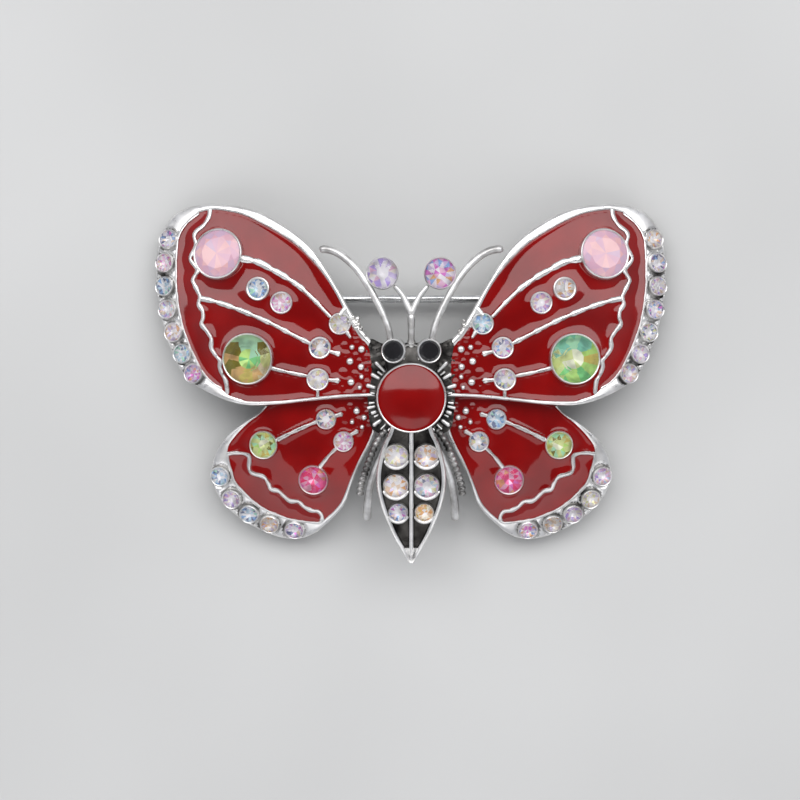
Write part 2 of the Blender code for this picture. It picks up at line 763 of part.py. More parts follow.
def body_stones():
    """(name, kind, radius, girdle matrix, height of the cup's foot) of each stone on the body, both sides."""
    for side_name, side in SIDES.items():
        at = plan(EYE[:2])
        tilt = Matrix.Rotation(EYE_TILT * side, 4, "Y")
        place = Matrix.Translation((at.x * side, at.y, BODY_BASE + HEAD_HEIGHT + 0.35)) @ tilt
        yield f"eye_stone_{side_name}", "jet", EYE[2], place, 1.1
        at = plan(ANTENNA_STONE[:2])
        place = Matrix.Translation((at.x * side, at.y, BODY_BASE + 1.2))
        yield f"antenna_stone_{side_name}", "crystal", ANTENNA_STONE[2], place, 1.15
        for number, (x, y, radius) in enumerate(ABDOMEN_STONES, 1):
            at = plan((x, y))
            place = abdomen_matrix() @ Matrix.Translation((at.x * side, at.y, 0.0))
            yield f"abdomen_stone_{side_name}_{number}", "crystal", radius, place, 0.8


def abdomen():
    half = catmull([plan(p) for p in ABDOMEN_OUTLINE], OUTLINE_STEP)
    shape = half + [Vector((-p.x, p.y)) for p in reversed(half)]
    bm = bmesh.new()
    add_prism(bm, shape, [(-ABDOMEN_DEPTH, 0.5), (-ABDOMEN_DEPTH + 0.5, 0), (0, 0)])
    leaf = new_object("abdomen_leaf", bm, helper=True)
    dish = [p for p in inset(shape, ABDOMEN_RIM) if p.y > plan((0, -16.6)).y]
    recesses = bmesh.new()
    for side in SIDES.values():
        edge = [p for p in dish if p.x * side > RIDGE_HALF]
        top, tip = max(p.y for p in edge) - 0.1, min(p.y for p in edge)
        inner = [Vector((RIDGE_HALF * side, tip)), Vector((RIDGE_HALF * side, top))]
        edge.sort(key=lambda p: -p.y)
        add_prism(recesses, edge + inner, [(-ABDOMEN_RECESS, 0), (1, 0)])
    cutter = new_object("abdomen_recess", recesses, helper=True)
    boolean(leaf, cutter, "DIFFERENCE")
    bm = flattened(leaf)
    bpy.data.objects.remove(cutter)
    bm.transform(abdomen_matrix())
    return new_object("abdomen_part", bm, helper=True)


def body_casting():
    bm = bmesh.new()
    rim = BODY_BASE + THORAX_HEIGHT
    place = Matrix.Translation((0, THORAX_Y, 0))
    add_turned(bm, [(THORAX_RADIUS - 0.5, BODY_BASE), (THORAX_RADIUS, BODY_BASE + 0.5),
                    (THORAX_RADIUS, rim)], THORAX_SIDES, place)
    casting = new_object("body_casting", bm, metal("silver"))
    parts = [abdomen()]
    head = both_sides(catmull([plan(p) for p in HEAD_OUTLINE], OUTLINE_STEP))
    bm = bmesh.new()
    add_prism(bm, head, [(BODY_BASE, 0.2), (BODY_BASE + 0.2, 0), (BODY_BASE + HEAD_HEIGHT - 0.25, 0),
                         (BODY_BASE + HEAD_HEIGHT, 0.25)])
    parts.append(new_object("head_part", bm, helper=True))
    bm = bmesh.new()
    low = UPPER_LEVEL - PLATE - GLUE_GAP - lattice_drop(0, THORAX_Y - PEG_HEAD_RADIUS)
    add_turned(bm, [(PEG_HEAD_RADIUS - 0.3, low - PEG_HEAD), (PEG_HEAD_RADIUS, low - 0.1),
                    (PEG_HEAD_RADIUS, low), (PEG_RADIUS, low + 0.001), (PEG_RADIUS, BODY_BASE + 0.4)],
               SMALL_SIDES, place)
    parts.append(new_object("peg_part", bm, helper=True))
    for name, line, radius in (("antenna", ANTENNA, ROD_RADIUS), ("fork_arm", FORK_ARM, ROD_RADIUS * 0.85),
                               ("front_leg", FRONT_LEG, LEG_RADIUS), ("rear_leg", REAR_LEG, LEG_RADIUS)):
        for side_name, side in SIDES.items():
            points = [Vector((*(plan((x * side, y))), z - 7.0 + UPPER_LEVEL)) for x, y, z in line]
            parts.append(tube(f"{name}_{side_name}_part", points, radius))
    points = [Vector((*(plan((x, y))), z - 7.0 + UPPER_LEVEL)) for x, y, z in FORK_STEM]
    parts.append(tube("fork_stem_part", points, ROD_RADIUS))
    cups = bmesh.new()
    seats = bmesh.new()
    for _, _, radius, matrix, foot in body_stones():
        add_cup(cups, radius, matrix, foot)
        add_seat(seats, radius, matrix)
    parts.append(new_object("body_cups", cups, helper=True))
    for part in parts:
        boolean(casting, part, "UNION")
    pocket = THORAX_RADIUS - THORAX_RIM
    add_turned(seats, [(pocket, rim - ENAMEL_DEPTH - GLUE_GAP), (pocket, rim + 1)], THORAX_SIDES, place)
    boolean(casting, new_object("body_seats", seats, helper=True), "DIFFERENCE")


def thorax_enamel():
    """The domed enamel button in the thorax cup."""
    edge = THORAX_RADIUS - THORAX_RIM - GLUE_GAP
    rim = BODY_BASE + THORAX_HEIGHT
    profile = [(edge, rim - ENAMEL_DEPTH)]
    for share in (1, 0.8, 0.55, 0.25):
        profile.append((edge * share, rim - 0.05 + THORAX_CROWN * (1 - share ** 2)))
    bm = bmesh.new()
    add_turned(bm, profile, THORAX_SIDES, Matrix.Translation((0, THORAX_Y, 0)))
    new_object("thorax_enamel", bm, enamel_red(), smooth_angle=40)


# ---------------------------------------------------------------- pin back


def along_pin(x):
    """Stands a piece on the pin's line: its Z runs along the pin, its X points down, its Y to the antennae."""
    return Matrix.Translation((x, PIN_Y, PIN_AXIS_Z)) @ Matrix.Rotation(math.radians(90), 4, "Y")


def across_pin(x):
    """Stands a piece on the pin's line with its Z across the pin, to the antennae."""
    return Matrix.Translation((x, PIN_Y, PIN_AXIS_Z)) @ Matrix.Rotation(math.radians(-90), 4, "X")


def stand(obj, matrix):
    """Places a finished mesh by its object's own location and rotation."""
    matrix.translation *= MM
    obj.matrix_world = matrix


def hinge_bracket():
    top = pad_face() - GLUE_GAP
    inner = EYE_WIDTH / 2 + SIDE_PLAY
    width = 2 * (inner + SHEET)
    bm = bmesh.new()
    add_block(bm, (BASE_LENGTH, width, SHEET), Matrix.Translation((HINGE_X, PIN_Y, top - SHEET / 2)))
    bracket = new_object("pin_hinge_bracket", bm, metal("steel"))
    half, foot = EYE_RADIUS + 0.2, PIN_AXIS_Z
    ear = [(foot, 0.6), (foot, -0.6), (foot - 0.6, -half), (PIN_AXIS_Z - top + 0.1, -half),
           (PIN_AXIS_Z - top + 0.1, half), (foot - 0.6, half)]
    for side in (1, -1):
        bm = bmesh.new()
        low, high = sorted((side * inner, side * (inner + SHEET)))
        add_prism(bm, [Vector((x, z)) for z, x in ear], [(0, 0), (SHEET, 0)])
        turn = Matrix.Rotation(math.radians(-90), 4, "X")
        bm.transform(Matrix.Translation((HINGE_X, PIN_Y + low, PIN_AXIS_Z)) @ turn)
        boolean(bracket, new_object("hinge_ear", bm, helper=True), "UNION")
    bm = bmesh.new()
    bore = RIVET_RADIUS + GLUE_GAP
    add_turned(bm, [(bore, -3), (bore, 3)], SMALL_SIDES, across_pin(HINGE_X))
    boolean(bracket, new_object("hinge_bore", bm, helper=True), "DIFFERENCE")


def hinge_rivet():
    reach = EYE_WIDTH / 2 + SIDE_PLAY + SHEET + GLUE_GAP
    half = [(RIVET_HEAD_RADIUS - 0.15, reach + RIVET_HEAD), (RIVET_HEAD_RADIUS, reach + 0.05),
            (RIVET_HEAD_RADIUS, reach), (RIVET_RADIUS, reach - 0.001)]
    bm = bmesh.new()
    add_turned(bm, [(r, -z) for r, z in half] + [(r, z) for r, z in reversed(half)], SMALL_SIDES)
    stand(new_object("pin_hinge_rivet", bm, metal("steel"), smooth_angle=40), across_pin(HINGE_X))


def pin_stem():
    """The pin: a flattened eye on the rivet and a wire that ends in a point."""
    half = EYE_WIDTH / 2
    across = Matrix.Rotation(math.radians(-90), 4, "X")
    bm = bmesh.new()
    add_turned(bm, [(EYE_RADIUS - 0.1, -half), (EYE_RADIUS, 0.1 - half), (EYE_RADIUS, half - 0.1),
                    (EYE_RADIUS - 0.1, half)], BIG_SIDES, across)
    stem = new_object("pin_stem", bm, metal("steel"), smooth_angle=40)
    length = CATCH_X - HINGE_X + PIN_OVERHANG
    start = RIVET_RADIUS + RUNNING_GAP + 0.15
    bm = bmesh.new()
    add_turned(bm, [(PIN_RADIUS * 0.8, start), (PIN_RADIUS, start + 0.5), (PIN_RADIUS, length - PIN_POINT),
                    (PIN_RADIUS * 0.12, length)], SMALL_SIDES, Matrix.Rotation(math.radians(90), 4, "Y"))
    wire = new_object("stem_wire", bm, helper=True)
    bm = bmesh.new()
    bore = RIVET_RADIUS + RUNNING_GAP
    add_turned(bm, [(bore, -1), (bore, 1)], BIG_SIDES, across)
    hole = new_object("stem_bore", bm, helper=True)
    for obj in (stem, wire, hole):
        stand(obj, Matrix.Translation((HINGE_X, PIN_Y, PIN_AXIS_Z)))
    boolean(stem, wire, "UNION")
    boolean(stem, hole, "DIFFERENCE")


def slot_arc(radius, mouth, pieces):
    """Points round a circle about the pin's axis, from one side of a slot that faces down to the other."""
    edge = math.asin(mouth / 2 / radius)
    turn = 2 * math.pi - 2 * edge
    angles = [edge + turn * k / pieces for k in range(pieces + 1)]
    return [Vector((radius * math.cos(a), radius * math.sin(a))) for a in angles]


def slotted_ring(name, outer, low, high):
    """A piece of the roller: a ring round the pin's axis with a slot that faces down."""
    bm = bmesh.new()
    outside = slot_arc(outer, ROLLER_MOUTH, 18)
    inside = slot_arc(PIN_RADIUS + 0.1, ROLLER_MOUTH, 10)
    add_prism(bm, outside + inside[::-1], [(low, 0), (high, 0)])
    return new_object(name, bm, helper=True)


def catch_housing():
    """The catch's fixed part: a slotted saddle round the roller, standing on a foot."""
    top = pad_face() - GLUE_GAP
    bore = ROLLER_RADIUS + RUNNING_GAP
    half = HOUSING_LENGTH / 2
    wall = bore + HOUSING_WALL
    arch = [Vector((wall * math.cos(math.radians(a)), wall * math.sin(math.radians(a))))
            for a in range(90, 271, 20)]
    lip = HOUSING_MOUTH / 2
    bm = bmesh.new()
    shape = [Vector((PIN_AXIS_Z, lip)), Vector((PIN_AXIS_Z, wall)), *arch, Vector((PIN_AXIS_Z, -wall)),
             Vector((PIN_AXIS_Z, -lip)), *slot_arc(bore, HOUSING_MOUTH, 18)[::-1]]
    add_prism(bm, shape, [(-half, 0), (half, 0)])
    bm.transform(along_pin(CATCH_X))
    housing = new_object("catch_housing", bm, metal("steel"))
    low = PIN_AXIS_Z + bore + 0.12
    for name, size, bottom in (("catch_post", (HOUSING_LENGTH, 1.5), low), ("catch_foot", CATCH_FOOT, top - SHEET)):
        bm = bmesh.new()
        height = top - bottom if name == "catch_foot" else top - 0.1 - bottom
        add_block(bm, (*size, height), Matrix.Translation((CATCH_X, PIN_Y, bottom + height / 2)))
        boolean(housing, new_object(name, bm, helper=True), "UNION")


def catch_roller():
    """The locking roller: a slotted barrel with a flange at each end and a thumb tab on the outer one."""
    half = HOUSING_LENGTH / 2 + SIDE_PLAY
    end = half + ROLLER_FLANGE
    roller = slotted_ring("catch_roller", ROLLER_RADIUS, -half - 0.1, half + 0.1)
    roller.data.materials.append(metal("steel"))
    roller.hide_render = False
    roller.display_type = "TEXTURED"
    parts = [slotted_ring("outer_flange", ROLLER_FLANGE_RADIUS, half, end),
             slotted_ring("inner_flange", ROLLER_FLANGE_RADIUS, -end, -half)]
    reach = TAB_REACH - ROLLER_FLANGE_RADIUS + 0.3
    bm = bmesh.new()
    place = Matrix.Translation((0, TAB_REACH - reach / 2, half + ROLLER_FLANGE / 2))
    add_block(bm, (TAB_WIDTH, reach, ROLLER_FLANGE), place)
    parts.append(new_object("roller_tab", bm, helper=True))
    for obj in (roller, *parts):
        stand(obj, along_pin(CATCH_X))
    for part in parts:
        boolean(roller, part, "UNION")


# ---------------------------------------------------------------- assembly


def main():
    for obj in list(bpy.data.objects):
        bpy.data.objects.remove(obj)
    wing_casting()
    enamel_pieces()
    body_casting()
    thorax_enamel()
    for wing in WINGS:
        for side_name, side in SIDES.items():
            for name, kind, x, y, radius in wing_stones(wing, side):
                place = girdle_matrix(wing, x, y, radius)
                make_stone(f"{wing}_{side_name}_stone_{name}", kind, radius, place)
            rim_row_solid(f"{wing}_{side_name}_rim_stones", wing, side, cutter=False)
    for name, kind, radius, matrix, _ in body_stones():
        make_stone(name, kind, radius, matrix)
    hinge_bracket()
    hinge_rivet()
    pin_stem()
    catch_housing()
    catch_roller()


main()
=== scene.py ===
"""Butterfly brooch: the finished looks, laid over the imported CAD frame.

Plan sizes are in millimetres in the frame's own axes (+X along the span, +Y to the antennae,
+Z out of the face) and are scaled to metres when each mesh is made. The right-hand wing
(positive X) is drawn, and the left-hand one mirrors it.
"""

import json
import math
import random

import bmesh
import bpy
import numpy as np
from mathutils import Matrix, Vector

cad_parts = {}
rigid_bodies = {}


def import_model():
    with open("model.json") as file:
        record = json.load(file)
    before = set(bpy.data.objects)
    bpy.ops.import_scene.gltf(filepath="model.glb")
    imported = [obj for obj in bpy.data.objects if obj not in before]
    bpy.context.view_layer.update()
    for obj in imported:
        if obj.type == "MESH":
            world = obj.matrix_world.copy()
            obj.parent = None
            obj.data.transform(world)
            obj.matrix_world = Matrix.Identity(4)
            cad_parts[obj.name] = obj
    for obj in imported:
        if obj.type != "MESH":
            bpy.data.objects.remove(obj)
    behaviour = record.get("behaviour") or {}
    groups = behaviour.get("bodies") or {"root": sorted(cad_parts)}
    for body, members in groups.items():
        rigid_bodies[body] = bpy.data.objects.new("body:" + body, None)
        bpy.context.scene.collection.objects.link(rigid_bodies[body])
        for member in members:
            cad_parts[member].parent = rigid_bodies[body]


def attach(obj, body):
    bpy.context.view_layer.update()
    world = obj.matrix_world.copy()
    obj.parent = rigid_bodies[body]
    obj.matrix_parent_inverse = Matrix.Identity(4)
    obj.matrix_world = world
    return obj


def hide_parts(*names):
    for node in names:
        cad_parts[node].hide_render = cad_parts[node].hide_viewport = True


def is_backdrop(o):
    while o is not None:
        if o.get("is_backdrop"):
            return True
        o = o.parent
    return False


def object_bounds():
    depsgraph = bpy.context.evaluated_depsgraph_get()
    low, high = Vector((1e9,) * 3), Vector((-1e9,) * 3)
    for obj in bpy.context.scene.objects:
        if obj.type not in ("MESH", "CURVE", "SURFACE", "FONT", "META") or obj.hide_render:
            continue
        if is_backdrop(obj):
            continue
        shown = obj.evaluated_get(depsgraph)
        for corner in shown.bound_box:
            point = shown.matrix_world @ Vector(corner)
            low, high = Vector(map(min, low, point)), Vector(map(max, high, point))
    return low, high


for old in list(bpy.data.objects):
    bpy.data.objects.remove(old)
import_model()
CAD_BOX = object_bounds()

MM = 0.001
TINY = 1e-12
SIDES = {"right": 1, "left": -1}


def words(table):
    """The table with each of its strings split into a list of words."""
    return {key: value.split() for key, value in table.items()}


# The dome, as the castings have it.
HALF_SPAN = 25.8
HALF_LENGTH = 18.0
SPAN_DROP = 4.6
TOP_DROP = 1.6
BOTTOM_DROP = 5.2
LEVEL = {"upper": 7.0, "lower": 5.8}
PLATE = 1.5
UNDERSIDE = -PLATE + 0.02

# ---- outlines

# Each wing's outer edge and the edge of its enamel, in four matching stretches.
UPPER_EDGE = [
    [(4.0, 4.3), (5.0, 5.5), (6.1, 7.25), (7.2, 9.2), (8.3, 11.0), (9.35, 12.65), (10.5, 14.0),
     (12.4, 15.5), (15.0, 17.0), (17.4, 17.75), (20.0, 18.0), (22.0, 17.85)],
    [(22.0, 17.85), (23.6, 17.15), (24.6, 16.1), (25.35, 14.5), (25.7, 12.2), (25.7, 10.0),
     (25.4, 7.8), (24.8, 5.2), (24.0, 3.0), (22.9, 0.95), (21.5, -0.3)],
    [(21.5, -0.3), (20.0, -1.1), (18.0, -1.9), (16.0, -2.25), (13.0, -2.12), (10.0, -1.8),
     (7.0, -1.5), (3.4, -1.35)],
    [(3.4, -1.35), (3.0, 1.5), (4.0, 4.3)],
]
UPPER_FIELD = [
    [(4.3, 3.6), (5.3, 4.7), (6.35, 6.4), (7.4, 8.6), (8.6, 10.55), (10.0, 12.25), (11.7, 13.85),
     (14.0, 15.35), (16.5, 16.65), (18.3, 17.15), (19.9, 17.35), (21.3, 17.1)],
    [(21.3, 17.1), (22.3, 16.35), (23.05, 15.5), (23.45, 14.6), (23.6, 13.4), (23.65, 12.0),
     (23.62, 9.7), (23.3, 7.2), (22.8, 5.2), (22.0, 3.2), (20.95, 1.2), (20.0, 0.1), (18.9, -0.6)],
    [(18.9, -0.6), (18.2, -1.2), (17.0, -1.6), (16.0, -1.85), (13.0, -1.74), (10.0, -1.42),
     (7.0, -1.12), (4.3, -1.0)],
    [(4.3, -1.0), (4.05, 1.4), (4.3, 3.6)],
]
LOWER_EDGE = [
    [(3.4, -4.3), (3.6, -5.2), (4.2, -6.4), (5.05, -8.0), (5.9, -10.0), (6.6, -12.0), (7.4, -13.1),
     (8.3, -13.95), (9.4, -14.95)],
    [(9.4, -14.95), (10.6, -15.55), (11.9, -15.75), (13.5, -15.5), (15.2, -14.85), (16.8, -13.95),
     (18.3, -12.8), (19.35, -11.5), (19.95, -10.2), (20.1, -9.1), (19.95, -7.9)],
    [(19.95, -7.9), (19.6, -6.95), (19.0, -5.95), (18.1, -4.95), (16.5, -3.75), (15.2, -3.0),
     (14.6, -2.2)],
    [(14.6, -2.2), (12.0, -1.2), (8.0, -1.0), (3.6, -1.2), (3.4, -4.3)],
]
LOWER_FIELD = [
    [(3.85, -4.2), (4.0, -5.0), (4.5, -6.2), (5.35, -7.85), (6.2, -9.85), (6.95, -11.75),
     (7.7, -12.75), (8.3, -13.3), (8.8, -13.75)],
    [(8.8, -13.75), (9.3, -14.05), (10.2, -14.0), (12.0, -13.75), (13.6, -13.2), (15.2, -12.4),
     (16.6, -11.2), (17.65, -10.0), (18.1, -8.7), (18.35, -7.7), (18.4, -7.1)],
    [(18.4, -7.1), (18.3, -6.4), (18.0, -5.85), (17.2, -4.9), (16.2, -3.95), (15.2, -3.2),
     (14.4, -2.4)],
    [(14.4, -2.4), (12.0, -1.6), (8.0, -1.4), (4.1, -1.6), (3.85, -4.2)],
]

# Raised lines (veins, the short tails at the root stones, and last the border across the wing): points,
# then the half width at the start and at the end.
UPPER_LINES = [
    ([(17.4, 12.5), (15.5, 12.15), (14.0, 11.4), (12.5, 10.55), (11.0, 9.5), (9.6, 8.2),
      (8.0, 6.5)], 0.34, 0.18),
    ([(21.2, 8.5), (19.8, 8.2), (17.8, 7.55), (15.8, 6.75), (13.8, 5.85), (11.9, 4.85),
      (10.0, 3.9)], 0.25, 0.21),
    ([(14.0, 1.5), (12.2, 1.05), (10.3, 0.68)], 0.2, 0.2),
    ([(9.3, -0.5), (9.3, -1.6)], 0.14, 0.2),
    ([(7.2, 6.6), (6.4, 7.5)], 0.22, 0.3),
    ([(6.5, 5.2), (6.0, 4.4)], 0.24, 0.12),
    ([(8.2, 3.15), (7.0, 2.85)], 0.14, 0.28),
    ([(8.4, 0.32), (7.05, 0.22)], 0.14, 0.28),
    ([(20.2, 17.6), (20.3, 16.75), (20.8, 15.9), (21.6, 15.25), (21.8, 14.7), (21.6, 14.0), (21.8, 13.3),
      (22.2, 12.5), (21.7, 11.75), (21.4, 11.3), (21.9, 10.4), (21.75, 9.9), (21.4, 9.2), (21.15, 8.6),
      (21.3, 7.9), (20.9, 7.2), (20.85, 6.5), (21.0, 5.9), (20.4, 5.1), (20.0, 4.4), (20.0, 3.5),
      (19.5, 2.7), (19.1, 2.2), (19.15, 1.6), (18.9, 0.9), (18.5, 0.1), (18.35, -1.2)], 0.2, 0.2),
]
LOWER_LINES = [
    ([(13.5, -5.75), (11.5, -4.75), (9.3, -3.8)], 0.22, 0.19),
    ([(9.2, -8.5), (8.25, -7.3), (7.3, -6.35)], 0.2, 0.17),
    ([(7.8, -3.35), (6.8, -3.05)], 0.14, 0.27),
    ([(6.2, -5.25), (5.25, -4.75)], 0.14, 0.26),
    ([(18.55, -7.15), (17.5, -7.0), (16.3, -7.3), (16.25, -8.55), (15.9, -9.05), (14.8, -9.4),
      (14.3, -10.1), (14.05, -10.65), (13.3, -10.85), (12.6, -11.5), (12.1, -11.85), (11.3, -11.9),
      (10.7, -12.45), (10.0, -12.8), (9.3, -12.9), (8.95, -13.4), (9.0, -14.0)], 0.19, 0.19),
]

# Stones: the CAD node's last word, x, y, radius, bezel radius, and the palette on each side.
UPPER_STONES = [
    ("opal", 19.25, 12.9, 2.35, 2.58, "opal", "opal"),
    ("green", 16.25, 2.4, 2.4, 2.6, "lime", "vitrail"),
    ("mid_outer", 15.3, 9.4, 0.95, 1.22, "peach", "aqua"),
    ("mid_inner", 12.95, 8.0, 0.95, 1.16, "lilac", "rose"),
    ("root_1", 7.1, 5.9, 0.95, 1.14, "aqua", "cream"),
    ("root_2", 9.1, 3.5, 0.92, 1.14, "violet", "aurora"),
    ("root_3", 9.3, 0.35, 0.95, 1.16, "aurora", "cream"),
]
LOWER_STONES = [
    ("citrine", 14.8, -6.2, 1.28, 1.46, "peridot", "peridot"),
    ("pink", 9.8, -9.7, 1.35, 1.52, "fuchsia", "fuchsia"),
    ("root_1", 8.5, -3.62, 0.9, 1.06, "aqua", "aurora"),
    ("root_2", 6.75, -5.85, 0.88, 1.06, "aurora", "rose"),
]
BIG_STONE = 2.0
RIM_RADIUS = 0.86
RIM_BEZEL = 1.03
RIM_RISE = 0.2
UPPER_RIM = [(24.45, 14.5), (24.8, 12.1), (24.8, 9.75), (24.5, 7.4), (23.85, 5.1), (22.95, 2.95),
             (21.8, 0.95)]
LOWER_RIM = [(19.2, -9.35), (18.05, -11.65), (16.3, -13.15), (14.25, -14.15), (11.75, -14.75)]
UPPER_RIM_PALETTES = words({"right": "peach violet lilac violet aurora frost lilac",
                            "left": "violet rose aqua lilac peach aqua sunset"})
LOWER_RIM_PALETTES = words({"right": "lilac cream frost peach sunset",
                            "left": "aqua frost aqua peach violet"})

# Small raised dots near the root of each wing: x, y, radius.
UPPER_DOTS = [(6.1, 2.15, 0.32), (5.0, 1.6, 0.3), (6.0, 0.08, 0.32), (4.95, 3.35, 0.32),
              (4.95, 0.6, 0.22), (5.15, -0.45, 0.22), (5.9, 3.55, 0.24)]
LOWER_DOTS = [(5.45, -2.8, 0.3), (4.7, -3.45, 0.26), (5.9, -3.9, 0.22), (4.9, -4.4, 0.22)]

# Grains of the casting that the enamel runs over, near each root.
GRAINS = {
    "upper": [(4.45, 2.6), (4.5, 1.1), (5.5, 2.75), (4.6, 4.1), (5.45, 4.3), (4.45, 0.05), (5.55, 0.9),
              (6.75, 1.1), (6.6, 3.75), (5.3, 2.2), (6.4, 2.9), (5.45, -0.7), (6.9, -0.5), (4.3, 1.85),
              (5.6, 5.1)],
    "lower": [(4.5, -2.2), (4.35, -2.95), (5.3, -3.6), (6.1, -2.3), (5.0, -3.95), (6.6, -3.75),
              (4.3, -4.0)],
}

# The enamel lies a little below the metal, is drawn up against it, and swells over dots and grains.
ENAMEL_SINK = 0.11
MENISCUS_RISE, MENISCUS_REACH = 0.14, 0.42
DOT_RISE, DOT_MARGIN = 0.1, 0.08
GRAIN_RISE, GRAIN_RADIUS = 0.13, 0.26

# The rim is sunk round the stones of its row.
HOLLOW_REACH, HOLLOW_SLOPE, HOLLOW_DEPTH = 1.22, 0.14, 0.26

# Body. Its stones: x, y, radius and, where the sides differ, the palette on each.
THORAX_Y = -1.5
THORAX_RADIUS = 3.48
THORAX_TOP = 8.94
BODY_BASE = 7.19
STUD_TOP = 5.37
ABDOMEN_BEND = -4.9
ABDOMEN_TOP = 8.59
ABDOMEN_SLOPE = math.radians(11)
# Half the abdomen's width at each y along it.
ABDOMEN_HALF = [(-3.6, 1.9), (-5.0, 2.25), (-6.0, 2.72), (-7.0, 3.05), (-8.05, 3.3), (-9.05, 3.44),
                (-10.1, 3.46), (-11.1, 3.34), (-12.15, 3.1), (-13.15, 2.78), (-14.2, 2.36), (-15.2, 1.93),
                (-16.25, 1.38), (-17.2, 0.78), (-17.9, 0.42), (-18.2, 0.15)]
SILVER_TIP_Y = -16.6
ABDOMEN_STONES = [(1.5, -7.3, 1.08, "peach", "cream"), (1.55, -10.35, 1.13, "aurora", "peach"),
                  (1.3, -13.05, 0.84, "amber", "violet")]
EYE = (1.8, 3.15, 1.05)
EYE_TILT = math.radians(12)
ANTENNA_STONE = (2.85, 10.87, 1.48, "sunset", "frost")
ANTENNA = [(1.95, 3.4, 7.75), (2.25, 5.3, 7.95), (2.9, 7.0, 7.95), (3.65, 8.5, 7.92), (4.5, 10.0, 7.82),
           (5.4, 11.25, 7.62), (6.4, 12.25, 7.38), (7.5, 13.0, 7.12), (8.6, 13.3, 6.92),
           (9.15, 13.15, 6.84)]
FORK_STEM = [(0, 3.4, 7.75), (0, 5.0, 7.95), (0, 6.9, 7.95)]
FORK_ARM = [(0, 6.7, 7.95), (0.35, 7.6, 7.95), (0.9, 8.7, 7.95), (1.7, 9.7, 7.92)]
FRONT_LEG = [(2.4, -4.6, 7.6), (3.3, -5.7, 7.15), (4.1, -7.5, 6.3), (4.7, -9.2, 5.25),
             (5.0, -10.2, 4.65), (5.15, -11.3, 4.05)]
REAR_LEG = [(2.3, -5.4, 7.3), (3.35, -7.9, 6.2), (3.95, -9.6, 5.2), (4.3, -11.4, 4.0),
            (4.42, -12.9, 2.9), (4.42, -13.8, 2.3)]
# Cast strokes round the thorax: direction in degrees, reach from its middle, and radius.
STROKES = [(60, 4.7, 0.15), (45, 5.1, 0.23), (38, 4.3, 0.12), (31, 4.7, 0.24), (16, 4.7, 0.26),
           (7, 4.15, 0.14), (-7, 4.3, 0.15), (-13, 4.55, 0.2), (-21, 4.35, 0.24), (-27, 4.2, 0.12),
           (-36, 4.75, 0.27), (-46, 4.4, 0.14), (-55, 4.35, 0.19)]

# Pin back, as the CAD has it
PIN_Y = 8.5
PIN_Z = 1.45
HINGE_X = -13.2
CATCH_X = 13.2
PIN_RADIUS = 0.4
PAD_FACE = 3.9
FOOT_TOP = PAD_FACE - 0.04

# ---- materials


def new_material(name, base, roughness, metallic=0.0, **more):
    """A Principled material, its node tree and its shader. More sets other sockets, _ for a space."""
    mat = bpy.data.materials.new(name)
    mat.use_nodes = True
    mat.diffuse_color = (*base, 1)
    shader = mat.node_tree.nodes["Principled BSDF"]
    shader.inputs["Base Color"].default_value = (*base, 1)
    for key, value in {"Roughness": roughness, "Metallic": metallic, **more}.items():
        shader.inputs[key.replace("_", " ")].default_value = value
    return mat, mat.node_tree, shader


def noise(tree, per_mm, detail):
    """A noise over the piece's own coordinates, with about this many features per millimetre."""
    place = tree.nodes.new("ShaderNodeTexCoord")
    node = tree.nodes.new("ShaderNodeTexNoise")
    node.inputs["Scale"].default_value = per_mm / MM
    node.inputs["Detail"].default_value = detail
    tree.links.new(place.outputs["Object"], node.inputs["Vector"])
    return node.outputs["Fac"]


def tone(tree, shader, per_mm, detail, low, high, start=0.35, end=0.65):
    """Takes the base colour from low to high over part of a noise's range."""
    ramp = tree.nodes.new("ShaderNodeValToRGB")
    for element, position, colour in zip(ramp.color_ramp.elements, (start, end), (low, high)):
        element.position = position
        element.color = (*colour, 1)
    tree.links.new(noise(tree, per_mm, detail), ramp.inputs["Fac"])
    tree.links.new(ramp.outputs["Color"], shader.inputs["Base Color"])


def map_range(tree, value, from_min, from_max, to_min, to_max):
    node = tree.nodes.new("ShaderNodeMapRange")
    limits = {"From Min": from_min, "From Max": from_max, "To Min": to_min, "To Max": to_max}
    for key, number in limits.items():
        node.inputs[key].default_value = number
    tree.links.new(value, node.inputs["Value"])
    return node.outputs["Result"]


def polish(tree, shader, per_mm, detail, low, high):
    """Takes the roughness from low to high with a noise."""
    value = map_range(tree, noise(tree, per_mm, detail), 0.3, 0.7, low, high)
    tree.links.new(value, shader.inputs["Roughness"])


def ripple(tree, shader, per_mm, detail, strength, height_mm):
    """Bumps the surface with a noise."""
    bump = tree.nodes.new("ShaderNodeBump")
    bump.inputs["Strength"].default_value = strength
    bump.inputs["Distance"].default_value = height_mm * MM
    tree.links.new(noise(tree, per_mm, detail), bump.inputs["Height"])
    tree.links.new(bump.outputs["Normal"], shader.inputs["Normal"])


def plated(name, bright, dull, rough_low, rough_high, bump_height, bump_scale=1.6):
    """Plated metal: soft changes of tone and polish, and the slight ripple of a casting."""
    mat, tree, shader = new_material(name, bright, rough_low, 1.0)
    tone(tree, shader, 0.55, 4, dull, bright)
    polish(tree, shader, 1.3, 3, rough_low, rough_high)
    ripple(tree, shader, bump_scale, 3, 0.35, bump_height)
    return mat


